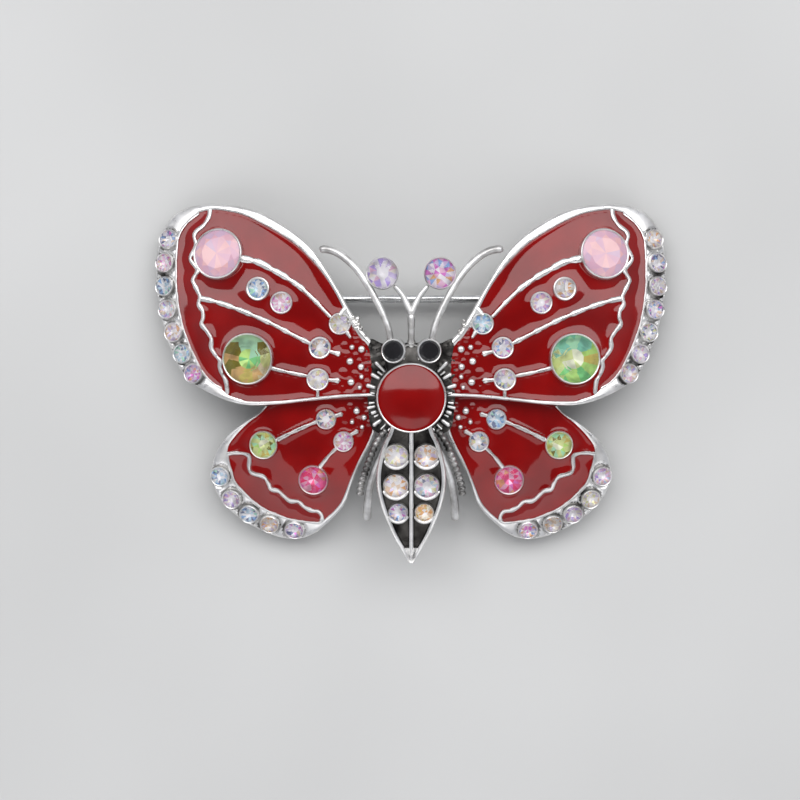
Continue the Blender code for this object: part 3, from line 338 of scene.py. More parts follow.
SILVER = plated("silver_plate", (0.90, 0.893, 0.888), (0.68, 0.672, 0.665), 0.24, 0.42, 0.02)
WORN = plated("silver_worn", (0.80, 0.79, 0.77), (0.30, 0.29, 0.28), 0.22, 0.45, 0.03, 3.0)
PATINA = plated("silver_patina", (0.10, 0.095, 0.09), (0.012, 0.011, 0.011), 0.22, 0.5, 0.04, 4.0)
# Darker silver: patina, and painted shade in the sunk hollows round the rim stones and on the legs beside
# the abdomen.
PATINA_AND_SHADE = plated("silver_patina_and_shade", (0.55, 0.54, 0.53), (0.05, 0.047, 0.045), 0.25, 0.5, 0.04, 2.2)
ROD = plated("silver_rod", (0.93, 0.925, 0.92), (0.42, 0.41, 0.40), 0.36, 0.5, 0.03, 3.2)
BACK = plated("silver_back", (0.74, 0.735, 0.73), (0.56, 0.555, 0.55), 0.3, 0.5, 0.05, 2.2)
STEEL = plated("pin_steel", (0.78, 0.785, 0.79), (0.60, 0.605, 0.61), 0.16, 0.32, 0.006, 2.5)


def enamel_material(name, roughness, per_mm, height):
    """Poured red enamel: deep, glossy, its surface slightly uneven."""
    mat, tree, shader = new_material(name, (0.22, 0.0013, 0.0013), roughness, Coat_Weight=0.15,
                                     Coat_Roughness=0.02)
    tone(tree, shader, 0.25, 2, (0.18, 0.0009, 0.001), (0.25, 0.0018, 0.0016))
    ripple(tree, shader, per_mm, 1, 0.5, height)
    return mat


ENAMEL = enamel_material("red_enamel", 0.05, 0.16, 0.12)
RIPPLED_ENAMEL = enamel_material("red_enamel_rippled", 0.11, 0.34, 0.16)


def foil(name, colour):
    """One tint of a stone's foiled back; the palest tints are the milkiest."""
    pale = min(colour) > 0.75
    mat, tree, shader = new_material("foil_" + name, colour, 0.2, 0.1 if pale else 0.25)
    tone(tree, shader, 0.9, 1, tuple(0.6 * c for c in colour), colour, 0.3, 0.55)
    return mat


def glass(name, colour):
    mat, tree, shader = new_material("glass_" + name, colour, 0.01, Transmission_Weight=1.0, IOR=1.38)
    polish(tree, shader, 2.0, 2, 0.0, 0.02)
    return mat


def milky(name, colour, deep):
    """Opalescent glass: cloudy, with a clear polish over it."""
    mat, tree, shader = new_material(name, colour, 0.16, Coat_Weight=0.4, Coat_Roughness=0.02,
                                     Subsurface_Weight=0.25, Subsurface_Radius=(1.0, 0.7, 0.7),
                                     Subsurface_Scale=0.8 * MM)
    tone(tree, shader, 0.5, 2, deep, colour)
    return mat


TINTS = {
    "white": (0.98, 0.96, 0.98), "lilac": (0.80, 0.70, 0.97), "violet": (0.58, 0.44, 0.92),
    "blue": (0.36, 0.58, 0.97), "sky": (0.66, 0.85, 0.99), "peach": (0.99, 0.78, 0.60),
    "pink": (0.98, 0.62, 0.80), "mint": (0.58, 0.96, 0.74), "cream": (0.99, 0.93, 0.80),
    "gold": (0.90, 0.66, 0.20), "orange": (0.98, 0.56, 0.26), "olive": (0.30, 0.24, 0.04),
    "straw": (0.90, 0.92, 0.46), "lime": (0.66, 0.92, 0.30), "leaf": (0.30, 0.80, 0.34),
    "teal": (0.34, 0.78, 0.72), "fuchsia": (0.98, 0.18, 0.44), "magenta": (0.86, 0.26, 0.74),
    "slate": (0.22, 0.26, 0.42), "rouge": (0.97, 0.08, 0.26),
}
FOILS = {name: foil(name, colour) for name, colour in TINTS.items()}
PALETTES = words({
    "aurora": "white cream lilac sky pink white peach straw slate",
    "lilac": "white lilac cream pink sky white violet peach",
    "violet": "white lilac blue white magenta white slate peach",
    "aqua": "sky blue white white mint sky slate white",
    "peach": "peach cream white white lilac white orange",
    "rose": "pink lilac white magenta peach white white",
    "cream": "cream white white peach white lilac straw",
    "frost": "white pink white cream lilac white violet",
    "sunset": "pink magenta orange lilac blue white lilac white",
    "amber": "orange gold peach cream cream orange",
    "peridot": "straw gold lime straw olive straw mint",
    "fuchsia": "fuchsia fuchsia rouge magenta pink rouge orange",
})
# The two big green stones change tint round the stone: from +X, twelve steps anticlockwise.
ROUND_TINTS = words({
    "vitrail": "straw olive mint mint mint olive orange olive orange gold orange peach",
    "lime": "gold lime teal mint teal teal straw straw leaf lime leaf lime",
})
# The tints at the middle of a stone, where they aren't white with some of its palette's first.
HEARTS = words({
    "vitrail": "leaf mint sky lime", "lime": "straw cream cream", "peridot": "straw cream",
    "sunset": "pink magenta white", "fuchsia": "rouge fuchsia pink",
})
CLEAR = glass("clear", (0.995, 0.99, 0.995))
GREEN_GLASS = glass("green", (0.93, 0.99, 0.92))
PINK_GLASS = glass("pink", (0.99, 0.86, 0.92))
OPALS = [milky("opal_" + name, colour, deep) for name, colour, deep in (
    ("pink", (0.70, 0.42, 0.48), (0.64, 0.37, 0.44)),
    ("lilac", (0.60, 0.42, 0.54), (0.54, 0.37, 0.50)),
    ("peach", (0.76, 0.47, 0.48), (0.70, 0.40, 0.42)),
    ("mauve", (0.66, 0.40, 0.50), (0.58, 0.36, 0.47)),
)]
JET = milky("jet_black", (0.012, 0.011, 0.013), (0.004, 0.004, 0.005))

# ---- curves and the dome


def smooth(points, step, closed=False):
    """A Catmull-Rom curve through the points, as an array of points about a step apart."""
    points = [np.array(p, float) for p in points]
    if closed:
        padded = [points[-1], *points, points[0], points[1]]
    else:
        padded = [2 * points[0] - points[1], *points, 2 * points[-1] - points[-2]]
    found = []
    for a, b, c, d in zip(padded, padded[1:], padded[2:], padded[3:]):
        count = max(1, int(round(np.linalg.norm(c - b) / step)))
        for t in np.arange(count) / count:
            found.append(0.5 * (2 * b + (c - a) * t + (2 * a - 5 * b + 4 * c - d) * t * t
                                + (3 * b - a - 3 * c + d) * t ** 3))
    if not closed:
        found.append(points[-1])
    return np.array(found)


def lengths(line):
    return np.concatenate([[0], np.cumsum(np.linalg.norm(np.diff(line, axis=0), axis=1))])


def respace(line, count):
    """The same line with this many points, evenly spaced."""
    along = lengths(line)
    at = np.linspace(0, along[-1], count)
    return np.stack([np.interp(at, along, line[:, k]) for k in range(line.shape[1])], axis=1)


def arc(radius, start, end, count):
    """Points on a circle about the origin, from one angle in degrees to another."""
    return [(radius * math.cos(math.radians(a)), radius * math.sin(math.radians(a)))
            for a in np.linspace(start, end, count)]


def matched_loops(edge, field, step=0.2):
    """Two closed loops with the same number of points, and how many come before the root's stretch."""
    outer, inner = [], []
    for a, b in zip(edge, field):
        a, b = smooth(a, 0.1), smooth(b, 0.1)
        count = max(4, int(round(lengths(a)[-1] / step)))
        outer.append(respace(a, count + 1)[:-1])
        inner.append(respace(b, count + 1)[:-1])
    return np.concatenate(outer), np.concatenate(inner), sum(len(part) for part in outer[:-1])


def drop(x, y):
    """How far the dome has fallen at a plan point."""
    across = SPAN_DROP * (np.abs(x) / HALF_SPAN) ** 3
    along = np.where(np.asarray(y) > 0, TOP_DROP, BOTTOM_DROP) * (np.abs(y) / HALF_LENGTH) ** 3
    return across + along


def on_dome(wing, x, y, rise=0.0):
    """The matrix that stands a piece on the enamel surface of a wing."""
    d = 0.01
    slope_x = float(drop(x + d, y) - drop(x - d, y)) / (2 * d)
    slope_y = float(drop(x, y + d) - drop(x, y - d)) / (2 * d)
    turn = Vector((slope_x, slope_y, 1)).normalized().to_track_quat("Z", "Y").to_matrix().to_4x4()
    foot = Matrix.Translation((x, y, LEVEL[wing] - float(drop(x, y))))
    return foot @ turn @ Matrix.Translation((0, 0, rise))


# ---- meshes


def add_object(name, data):
    obj = bpy.data.objects.new(name, data)
    bpy.context.scene.collection.objects.link(obj)
    return obj


class Builder:
    """Gathers vertices and faces in millimetres, with a material for each face."""

    def __init__(self):
        self.verts, self.faces, self.mats, self.used = [], [], [], []

    def slot(self, mat):
        """The number of a material on this mesh."""
        if mat not in self.used:
            self.used.append(mat)
        return self.used.index(mat)

    def add(self, verts, faces, mat, matrix=None):
        base = len(self.verts)
        if matrix is not None:
            verts = [matrix @ Vector(v) for v in verts]
        self.verts += [tuple(v) for v in verts]
        self.faces += [tuple(base + i for i in f) for f in faces]
        slots = mat if isinstance(mat, list) else [mat] * len(faces)
        self.mats += [self.slot(m) for m in slots]

    def grid(self, rings, mat, wrap=False, caps=False, matrix=None):
        """Quads between rings of equally many points. mat may be a list, one for each step along."""
        count, rows = len(rings[0]), len(rings)
        verts = [tuple(v) for ring in rings for v in ring]
        faces, mats = [], []
        for i in range(rows - 1):
            a, b = i * count, (i + 1) * count
            for j in range(count if wrap else count - 1):
                k = (j + 1) % count
                faces.append((a + j, a + k, b + k, b + j))
                mats.append(mat[j % len(mat)] if isinstance(mat, list) else mat)
        if caps:
            end = (rows - 1) * count
            faces += [tuple(range(count))[::-1], tuple(range(end, end + count))]
            mats += [mats[0], mats[-1]]
        self.add(verts, faces, mats, matrix)

    def turned(self, profile, sides, mat, matrix=None, caps=True):
        """A piece turned about Z through (radius, z) pairs."""
        angles = 2 * np.pi * np.arange(sides) / sides
        rings = [np.stack([r * np.cos(angles), r * np.sin(angles), np.full(sides, float(z))], axis=1)
                 for r, z in profile]
        self.grid(rings, mat, wrap=True, caps=caps, matrix=matrix)

    def finish(self, name, body="brooch", replaces=(), slot="silver", angle=35, flat=False):
        """Makes the object: smooth except at edges over the angle, or all flat."""
        mesh = bpy.data.meshes.new(name)
        mesh.from_pydata([(x * MM, y * MM, z * MM) for x, y, z in self.verts], [], self.faces)
        for mat in self.used:
            mesh.materials.append(mat)
        mesh.polygons.foreach_set("material_index", self.mats)
        bm = bmesh.new()
        bm.from_mesh(mesh)
        bmesh.ops.remove_doubles(bm, verts=bm.verts, dist=2e-8)
        bmesh.ops.dissolve_degenerate(bm, edges=bm.edges, dist=1e-8)
        bmesh.ops.recalc_face_normals(bm, faces=bm.faces)
        bm.to_mesh(mesh)
        bm.free()
        obj = add_object(name, mesh)
        if not flat:
            mesh.shade_smooth()
            mesh.set_sharp_from_angle(angle=math.radians(angle))
        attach(obj, body)
        if replaces:
            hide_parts(*replaces)
        return obj


def sweep(builder, line, radii, mat, sides=14, matrix=None):
    """A round rod along a line of points."""
    angles = 2 * np.pi * np.arange(sides) / sides
    rings = []
    for i, (p, r) in enumerate(zip(line, radii)):
        ahead = line[min(i + 1, len(line) - 1)] - line[max(i - 1, 0)]
        ahead /= np.linalg.norm(ahead)
        side = np.cross(ahead, (0.0, 0.0, 1.0))
        side /= np.linalg.norm(side)
        top = np.cross(side, ahead)
        rings.append(p + r * (np.outer(np.cos(angles), side) + np.outer(np.sin(angles), top)))
    builder.grid(rings, mat, wrap=True, caps=True, matrix=matrix)


def rounded_radii(line, start, end):
    """Radii along a line that run evenly from start to end and close in a round tip at each end."""
    along = lengths(line)
    radii = start + (end - start) * along / along[-1]
    for distance in (along, along[-1] - along):
        near = np.clip(1 - distance / radii, 0, 1)
        radii = radii * np.sqrt(np.clip(1 - near ** 2, 0.02, 1))
    return radii


def rod(builder, points, start, end, mat, side=1, step=0.16, sides=14):
    """A round-ended rod along a curve through the points, mirrored where side is -1."""
    line = smooth([(x * side, y, z) for x, y, z in points], step)
    sweep(builder, line, rounded_radii(line, start, end), mat, sides)


# ---- wings

# Edge, field, raised lines, stones, rim stones, their palettes and dots.
WINGS = {
    "upper": (UPPER_EDGE, UPPER_FIELD, UPPER_LINES, UPPER_STONES, UPPER_RIM, UPPER_RIM_PALETTES,
              UPPER_DOTS),
    "lower": (LOWER_EDGE, LOWER_FIELD, LOWER_LINES, LOWER_STONES, LOWER_RIM, LOWER_RIM_PALETTES,
              LOWER_DOTS),
}


def lifted(wing, plan, height):
    """Plan points as points at a height above a wing's enamel surface."""
    z = LEVEL[wing] - drop(plan[:, 0], plan[:, 1]) + height
    return np.column_stack([plan, z])


def opened(plan, holes):
    """Plan points pushed out to the edge of any round hole they lie in, and which of them were moved."""
    moved = np.zeros(len(plan), bool)
    for x, y, r in holes:
        away = plan - (x, y)
        reach = np.linalg.norm(away, axis=1)
        near = reach < r
        plan = np.where(near[:, None], (x, y) + away * (r / np.maximum(reach, 1e-6))[:, None], plan)
        moved |= near
    return plan, moved


def rim_band(builder, wing, side, outer, inner, root, holes):
    """The cast rim: a rounded band from the wing's edge to its enamel, with the outside wall below it."""
    # Each row: how far it is from the edge, its height above the enamel, and its material. Only the
    # upper rows are sunk and opened at the holes for the rim's stones.
    flip = np.array([side, 1.0])
    width = np.linalg.norm(inner - outer, axis=1)
    inward = (inner - outer) / width[:, None]
    a = np.minimum(0.2, 0.3 * width)
    rows = [
        (1.2 * a, UNDERSIDE, BACK), (0.4 * a, UNDERSIDE + 0.01, BACK), (0.1 * a, UNDERSIDE + 0.1, BACK),
        (0 * a, UNDERSIDE + 0.28, WORN), (0 * a, -0.5, WORN), (0.03 * a, -0.25, SILVER),
        (0.16 * a, -0.06, SILVER), (0.42 * a, 0.06, SILVER),
    ]
    rows += [(a + (width - 2 * a) * t, 0.13 + 0.04 * math.sin(math.pi * t), SILVER)
             for t in np.arange(0, 1.01, 0.1)]
    rows += [(width - 0.5 * a, 0.1, SILVER), (width - 0.2 * a, 0.02, WORN), (width - 0.05 * a, -0.1, WORN),
             (width + 0.02, -0.5, WORN)]
    keep = slice(0, root + 1)
    bands = []
    for reach, height, mat in rows:
        through = holes if height > -0.2 else []
        plan, moved = opened((outer + inward * reach[:, None])[keep], through)
        middle = np.clip(np.minimum(reach, width - reach)[keep] / 0.35, 0, 1)
        sunk = middle * hollow(plan, through)
        ring = lifted(wing, plan * flip, height)
        ring[:, 2] -= sunk
        bands.append((ring, moved, sunk, mat))
    for (low, low_moved, low_sunk, mat), (high, high_moved, high_sunk, _) in zip(bands, bands[1:]):
        # The rows sunk deep round the rim stones take the darker silver, as painted shade in the hollows.
        dark = (low_sunk + high_sunk)[:-1] > 0.2
        gone = low_moved & high_moved
        for start, end in runs(~(gone[:-1] & gone[1:])):
            mats = [PATINA_AND_SHADE if d else mat for d in dark[start:end]]
            builder.grid([ring[start:end + 1] for ring in (low, high)], mats)
    wall = np.concatenate([outer[root:], outer[:1]]) * flip
    builder.grid([lifted(wing, wall, UNDERSIDE), lifted(wing, wall, -0.12)], BACK)


def hollow(plan, holes):
    """How far the rim is sunk at plan points round the stones of its row."""
    near = np.full(len(plan), HOLLOW_REACH)
    for x, y, _ in holes:
        near = np.minimum(near, np.linalg.norm(plan - (x, y), axis=1))
    return HOLLOW_DEPTH * np.clip((HOLLOW_REACH - near) / HOLLOW_SLOPE, 0, 1)


def runs(wanted):
    """(start, end) of each unbroken stretch of True."""
    edges = np.flatnonzero(np.diff(np.concatenate([[False], wanted, [False]]).astype(int)))
    return list(zip(edges[::2], edges[1::2]))


def ridge(builder, wing, side, points, start, end, top=0.2):
    """A raised line on a wing, rounded across and at both ends, its width a little uneven."""
    line = smooth(points, 0.14)
    along = lengths(line)
    uneven = 1 + 0.12 * np.sin(2.9 * along) + 0.08 * np.sin(6.1 * along + 1)
    half = 1.12 * rounded_radii(line, start, end) * uneven
    rows = [(-1.0, -0.35), (-1.0, -0.06), (-0.9, 0.45), (-0.58, 0.88), (0.0, 1.0)]
    rows += [(-u, h) for u, h in rows[-2::-1]]
    ahead = np.gradient(line, axis=0)
    across = np.stack([-ahead[:, 1], ahead[:, 0]], axis=1) / np.linalg.norm(ahead, axis=1)[:, None]
    fullness = np.minimum(1, half / min(start, end))
    rings = []
    for u, h in rows:
        plan = (line + across * (u * half)[:, None]) * np.array([side, 1.0])
        height = np.where(h > 0, h * top * fullness, h)
        rings.append(lifted(wing, plan, height))
    builder.grid(rings, SILVER)


def bezel(builder, matrix, inner, outer, foot, sides):
    """A ring round a stone: a plain rounded wall."""
    mid = (inner + outer) / 2
    builder.turned([(outer, -foot), (outer, -0.1), (outer - 0.02, 0.0), (outer - 0.06, 0.07), (mid, 0.1),
                    (inner + 0.03, 0.07), (inner - 0.01, 0.0), (inner - 0.03, -0.12), (inner - 0.06, -0.4)],
                   sides, SILVER, matrix, caps=False)


def nearest(x, y, starts, ends):
    """For arrays of points: the nearest point on any of the segments, and how far away it is."""
    best = np.full(x.shape, np.inf)
    cx, cy = np.zeros_like(x), np.zeros_like(y)
    for (ax, ay), (bx, by) in zip(starts, ends):
        dx, dy = bx - ax, by - ay
        t = np.clip(((x - ax) * dx + (y - ay) * dy) / (dx * dx + dy * dy + TINY), 0, 1)
        px, py = ax + t * dx, ay + t * dy
        d = (x - px) ** 2 + (y - py) ** 2
        nearer = d < best
        best = np.where(nearer, d, best)
        cx, cy = np.where(nearer, px, cx), np.where(nearer, py, cy)
    return cx, cy, np.sqrt(best)


def closest_on(polygon, x, y):
    """As nearest, on a closed polygon, with the distance negative inside it."""
    after = np.roll(polygon, -1, axis=0)
    cx, cy, distance = nearest(x, y, polygon, after)
    inside = np.zeros(x.shape, bool)
    for (ax, ay), (bx, by) in zip(polygon, after):
        inside ^= ((ay > y) != (by > y)) & (x < (bx - ax) * (y - ay) / (by - ay + TINY) + ax)
    return cx, cy, distance * np.where(inside, -1, 1)


def filled_sheet(builder, polygon, res, surface, mat, side=1, holes=()):
    """A fine grid over a polygon, its border drawn in to the polygon and its round holes left open."""
    low, high = polygon.min(axis=0) - res, polygon.max(axis=0) + res
    xs, ys = np.arange(low[0], high[0] + res, res), np.arange(low[1], high[1] + res, res)
    x, y = np.meshgrid(xs, ys, indexing="ij")
    cx, cy, distance = closest_on(polygon, x, y)
    outside = distance > 0
    px, py = np.where(outside, cx, x), np.where(outside, cy, y)
    plan, moved = opened(np.stack([px, py], axis=-1).reshape(-1, 2), holes)
    px, py = plan[:, 0].reshape(x.shape), plan[:, 1].reshape(x.shape)
    z = surface(px, py)
    rows, cols = x.shape
    index = np.arange(rows * cols).reshape(rows, cols)
    corners = [index[:-1, :-1], index[1:, :-1], index[1:, 1:], index[:-1, 1:]]
    corners = np.stack(corners, axis=-1).reshape(-1, 4)
    inner = (~outside).reshape(-1)
    keep = inner[corners].any(axis=1) & ~moved[corners].all(axis=1)
    faces = corners[keep]
    used, renumbered = np.unique(faces, return_inverse=True)
    verts = np.stack([px * side, py, z], axis=-1).reshape(-1, 3)[used]
    builder.add(verts.tolist(), renumbered.reshape(faces.shape).tolist(), mat)


def distance_to_line(x, y, line):
    return nearest(x, y, line, line[1:])[2]


def rise_of(radius):
    """How far a stone's girdle stands above the enamel, as the CAD has it."""
    return max(0.1, 0.62 * radius - 1.0)


def enamel_surface(wing, inner):
    """z over a wing's enamel: nearly level, and drawn up against every piece of metal."""
    _, _, lines, stones, _, _, dots = WINGS[wing]

    def surface(x, y):
        _, _, edge = closest_on(inner[::3], x, y)
        near = np.abs(edge)
        for points, start, end in lines:
            away = distance_to_line(x, y, smooth(points, 0.5))
            near = np.minimum(near, np.abs(away - (start + end) / 2))
        for _, sx, sy, _, ring, _, _ in stones:
            near = np.minimum(near, np.abs(np.hypot(x - sx, y - sy) - ring))
        height = -ENAMEL_SINK + MENISCUS_RISE * np.exp(-near / MENISCUS_REACH)
        swells = [(sx, sy, DOT_RISE, r + DOT_MARGIN) for sx, sy, r in dots]
        swells += [(sx, sy, GRAIN_RISE, GRAIN_RADIUS) for sx, sy in GRAINS[wing]]
        for sx, sy, rise, reach in swells:
            height = height + rise * np.exp(-(np.hypot(x - sx, y - sy) / reach) ** 2)
        return LEVEL[wing] - drop(x, y) + height

    return surface


def make_wing(wing, side_name, side):
    """One wing: its metal in one piece, then its enamel cells in another."""
    edge, field, lines, stones, rim, _, dots = WINGS[wing]
    outer, inner, root = matched_loops(edge, field)
    metal = Builder()
    rim_band(metal, wing, side, outer, inner, root, [(x, y, RIM_RADIUS + 0.06) for x, y in rim])
    under = UNDERSIDE + 0.005
    filled_sheet(metal, outer * 0.999, 0.6, lambda x, y: LEVEL[wing] - drop(x, y) + under, BACK, side)
    for points, start, end in lines:
        ridge(metal, wing, side, points, start, end)
    ridge(metal, wing, side, field[1], 0.13, 0.13, top=0.19)
    for _, x, y, radius, ring, _, _ in stones:
        place = on_dome(wing, x * side, y, rise_of(radius))
        sides = 64 if radius > BIG_STONE else 36
        bezel(metal, place, radius, ring, rise_of(radius) + 0.5, sides)
    for x, y in rim:
        bezel(metal, on_dome(wing, x * side, y, RIM_RISE), RIM_RADIUS, RIM_BEZEL, 0.5, 32)
    for x, y, r in dots:
        bead(metal, on_dome(wing, x * side, y, -0.04), 1.15 * r, 0.26, SILVER)
    shown = ["wing_casting"] if (wing, side_name) == ("upper", "right") else []
    metal.finish(f"{wing}_{side_name}_wing_metal", replaces=shown)

    cells = Builder()
    grown = inner + (outer - inner) / np.linalg.norm(outer - inner, axis=1)[:, None] * 0.12
    holes = [(x, y, (radius + ring) / 2) for _, x, y, radius, ring, _, _ in stones]
    filled_sheet(cells, grown, 0.16, enamel_surface(wing, inner), ENAMEL, side, holes)
    names = ("margin", "leading", "field") if wing == "upper" else ("margin", "field")
    cells.finish(f"{wing}_{side_name}_enamel", slot="red_enamel",
                 replaces=[f"{wing}_{side_name}_enamel_{n}" for n in names], angle=60)


def bead(builder, matrix, radius, height, mat, sides=16):
    """A low round dot."""
    profile = [(radius, -0.25), (radius, -0.02)]
    profile += [(radius * x, height * y) for x, y in arc(1, 15, 75, 5)]
    profile.append((0.02 * radius, height))
    builder.turned(profile, sides, mat, matrix)


# ---- stones

# A brilliant's proportions as shares of its radius: the table, the crown's middle ring and height, the
# depth of its foiled back, which is less where the abdomen is thin, and that back's two rings.
TABLE, CROWN_RING, CROWN_HEIGHT = 0.56, 0.8, 0.3
BACK_DEPTH, THIN_BACK_DEPTH = 0.56, 0.34
HEART_RING, WAIST_RING = 0.42, 0.74


def tint_picker(palette, matrix, seed):
    """A function that gives the foil for a facet at an angle: seeded, or set by where it points."""
    rng = random.Random(seed)
    turned = math.atan2(matrix[1][0], matrix[0][0])

    def pick(angle, heart=False):
        if heart:
            return FOILS[rng.choice(HEARTS.get(palette) or ["white", "white", PALETTES[palette][0]])]
        if palette in PALETTES:
            return FOILS[rng.choice(PALETTES[palette])]
        order = ROUND_TINTS[palette]
        step = (angle + turned) / (2 * math.pi) * len(order) + rng.uniform(-0.4, 0.4)
        return FOILS[order[round(step) % len(order)]]

    return pick


def ring_points(radius, count, z, turn=0.0):
    """Points evenly round a circle, turned by a share of a step."""
    return [(radius * math.cos(a), radius * math.sin(a), z)
            for a in (2 * math.pi * (k + turn) / count for k in range(count))]


def crown(radius, table, middle, height, n):
    """A stone's crown: the table's n corners, n points lower down and 2n on the girdle, and the four
    facets below each of the table's sides."""
    low = height * (radius - middle * math.cos(math.pi / n)) / (radius - table)
    verts = ring_points(table, n, height) + ring_points(middle, n, low, 0.5)
    verts += ring_points(radius, 2 * n, 0.0)
    facets = []
    for k in range(n):
        j = (k + 1) % n
        m, g = n + k, 2 * n + 2 * k
        facets += [(k, m, j), (k, n + (k - 1) % n, g, m), (m, g, g + 1), (m, g + 1, 2 * n + 2 * j)]
    return verts, facets


def cut_stone(builder, radius, matrix, palette, clear, seed, depth=BACK_DEPTH):
    """A round brilliant: a clear crown over a foiled back whose facets take the palette's tints."""
    n = 12 if radius > BIG_STONE else 8
    verts, facets = crown(radius, TABLE * radius, CROWN_RING * radius, CROWN_HEIGHT * radius, n)
    builder.add(verts, [tuple(range(n)), *facets], clear, matrix)

    pick = tint_picker(palette, matrix, seed)
    deep = -depth * radius
    verts = [(0.0, 0.0, deep), *ring_points(HEART_RING * radius, n, 0.7 * deep),
             *ring_points(WAIST_RING * radius, n, 0.36 * deep, 0.5),
             *ring_points(0.995 * radius, 2 * n, -0.01)]
    faces, mats = [], []
    for k in range(n):
        a, a_next = 1 + k, 1 + (k + 1) % n
        b, b_before = 1 + n + k, 1 + n + (k - 1) % n
        g, g_next = 1 + 2 * (n + k), 1 + 2 * (n + (k + 1) % n)
        for face, at, heart in (
            ((0, a, a_next), 0.5, True), ((a, b, a_next), 0.5, False), ((a, b_before, g), -0.2, False),
            ((a, g, b), 0.2, False), ((b, g, g + 1), 0.3, False), ((b, g + 1, g_next), 0.7, False),
        ):
            faces.append(face)
            mats.append(pick(2 * math.pi * (k + at) / n, heart))
    builder.add(verts, faces, mats, matrix)


def solid_stone(builder, radius, matrix, mats, seed, height, table):
    """A cloudy or black stone: only its crown and girdle show, the table in faint wedges."""
    n = 12
    verts, facets = crown(radius, table * radius, 0.82 * radius, height * radius, n)
    verts += ring_points(radius, 2 * n, -0.3 * radius) + [(0.0, 0.0, height * radius)]
    girdle, base, centre = 2 * n, 4 * n, 6 * n
    faces = [tuple(range(base, centre))[::-1]]
    for k in range(n):
        faces += [(k, (k + 1) % n, centre), *facets[4 * k:4 * k + 4]]
    for k in range(2 * n):
        j = (k + 1) % (2 * n)
        faces.append((girdle + k, base + k, base + j, girdle + j))
    rng = random.Random(seed)
    builder.add(verts, faces, [rng.choice(mats) for _ in faces], matrix)


def spin(seed):
    """A seeded turn about Z."""
    return Matrix.Rotation(2 * math.pi * random.Random(seed).random(), 4, "Z")


def make_stone(name, radius, matrix, palette, slot, seed):
    """One set stone, as a piece of its own."""
    stone = Builder()
    matrix = matrix @ spin(seed)
    if palette == "opal":
        solid_stone(stone, radius, matrix, OPALS, seed, 0.13, 0.66)
    elif palette == "jet":
        solid_stone(stone, radius, matrix, [JET], seed, 0.16, 0.8)
    else:
        clear = {"green": GREEN_GLASS, "citrine": GREEN_GLASS, "pink": PINK_GLASS}.get(slot, CLEAR)
        depth = THIN_BACK_DEPTH if "abdomen" in name else BACK_DEPTH
        cut_stone(stone, radius, matrix, palette, clear, seed, depth)
    stone.finish(f"{name}_cut", replaces=[name], slot=slot + "_stone", flat=True)


def wing_stones(wing, side_name, side):
    """A wing's set stones, one piece each, and the row along its rim as one piece."""
    _, _, _, stones, rim, palettes, _ = WINGS[wing]
    for number, (name, x, y, radius, _, right, left) in enumerate(stones):
        palette = right if side > 0 else left
        slot = name if name in ("opal", "green", "citrine", "pink") else "crystal"
        place = on_dome(wing, x * side, y, rise_of(radius))
        make_stone(f"{wing}_{side_name}_stone_{name}", radius, place, palette, slot, 10 * number + side)
    row = Builder()
    for number, (x, y) in enumerate(rim):
        seed = 100 + 10 * number + side
        place = on_dome(wing, x * side, y, RIM_RISE) @ spin(seed)
        cut_stone(row, RIM_RADIUS, place, palettes[side_name][number], CLEAR, seed)
    row.finish(f"{wing}_{side_name}_rim_stones_cut", replaces=[f"{wing}_{side_name}_rim_stones"],
               slot="crystal_stone", flat=True)


# ---- body


def abdomen_matrix():
    """The slope of the abdomen, whose own z = 0 is its face."""
    hinge = Matrix.Translation((0, ABDOMEN_BEND, ABDOMEN_TOP))
    return hinge @ Matrix.Rotation(ABDOMEN_SLOPE, 4, "X") @ Matrix.Translation((0, -ABDOMEN_BEND, 0))


def abdomen(builder):
    """The leaf: a raised rim and a centre ridge round two blackened hollows."""
    half_at = smooth([(y, h) for y, h in ABDOMEN_HALF], 0.2)
    rows = []
    for y, half in half_at:
        f = min(1.0, half / 1.2)
        right = [(0.0, 0.06), (0.1 * f, 0.04), (0.19 * f, -0.04), (0.24 * f, -0.3 * f),
                 (0.32 * f, -0.42 * f), (half - 0.54 * f, -0.42 * f), (half - 0.47 * f, -0.3 * f),
                 (half - 0.43 * f, -0.03), (half - 0.26 * f, 0.05), (half - 0.1 * f, 0.02),
                 (half - 0.02 * f, -0.08), (half, -0.3), (half - 0.06 * f, -0.75), (half - 0.4 * f, -1.2)]
        left = [(-x, z) for x, z in reversed(right)][:-1]
        rows.append([(x, y, z) for x, z in left + right])
    mats = 3 * [WORN] + 4 * [SILVER] + 3 * [PATINA] + 3 * [SILVER]
    mats = mats + mats[::-1] + [BACK]
    tip = next(i for i, (y, _) in enumerate(half_at) if y < SILVER_TIP_Y)
    place = abdomen_matrix()
    builder.grid(rows[:tip + 1], mats, wrap=True, matrix=place)
    builder.grid(rows[tip:], SILVER, wrap=True, matrix=place)
    for end in (rows[0][::-1], rows[-1]):
        builder.add(end, [tuple(range(len(end)))], BACK, place)


def body_stones():
    """Name, palette, slot, radius, place and bezel radius of each stone on the body."""
    for side_name, side in SIDES.items():
        x, y, radius = EYE
        place = Matrix.Translation((x * side, y, BODY_BASE + 1.35))
        place = place @ Matrix.Rotation(EYE_TILT * side, 4, "Y")
        yield f"eye_stone_{side_name}", "jet", "jet", radius, place, 1.24
        x, y, radius, right, left = ANTENNA_STONE
        place = Matrix.Translation((x * side, y, BODY_BASE + 1.2))
        yield f"antenna_stone_{side_name}", right if side > 0 else left, "crystal", radius, place, 1.62
        for number, (x, y, radius, right, left) in enumerate(ABDOMEN_STONES, 1):
            place = abdomen_matrix() @ Matrix.Translation((x * side, y, 0.0))
            name = f"abdomen_stone_{side_name}_{number}"
            yield name, right if side > 0 else left, "crystal", radius, place, radius + 0.15


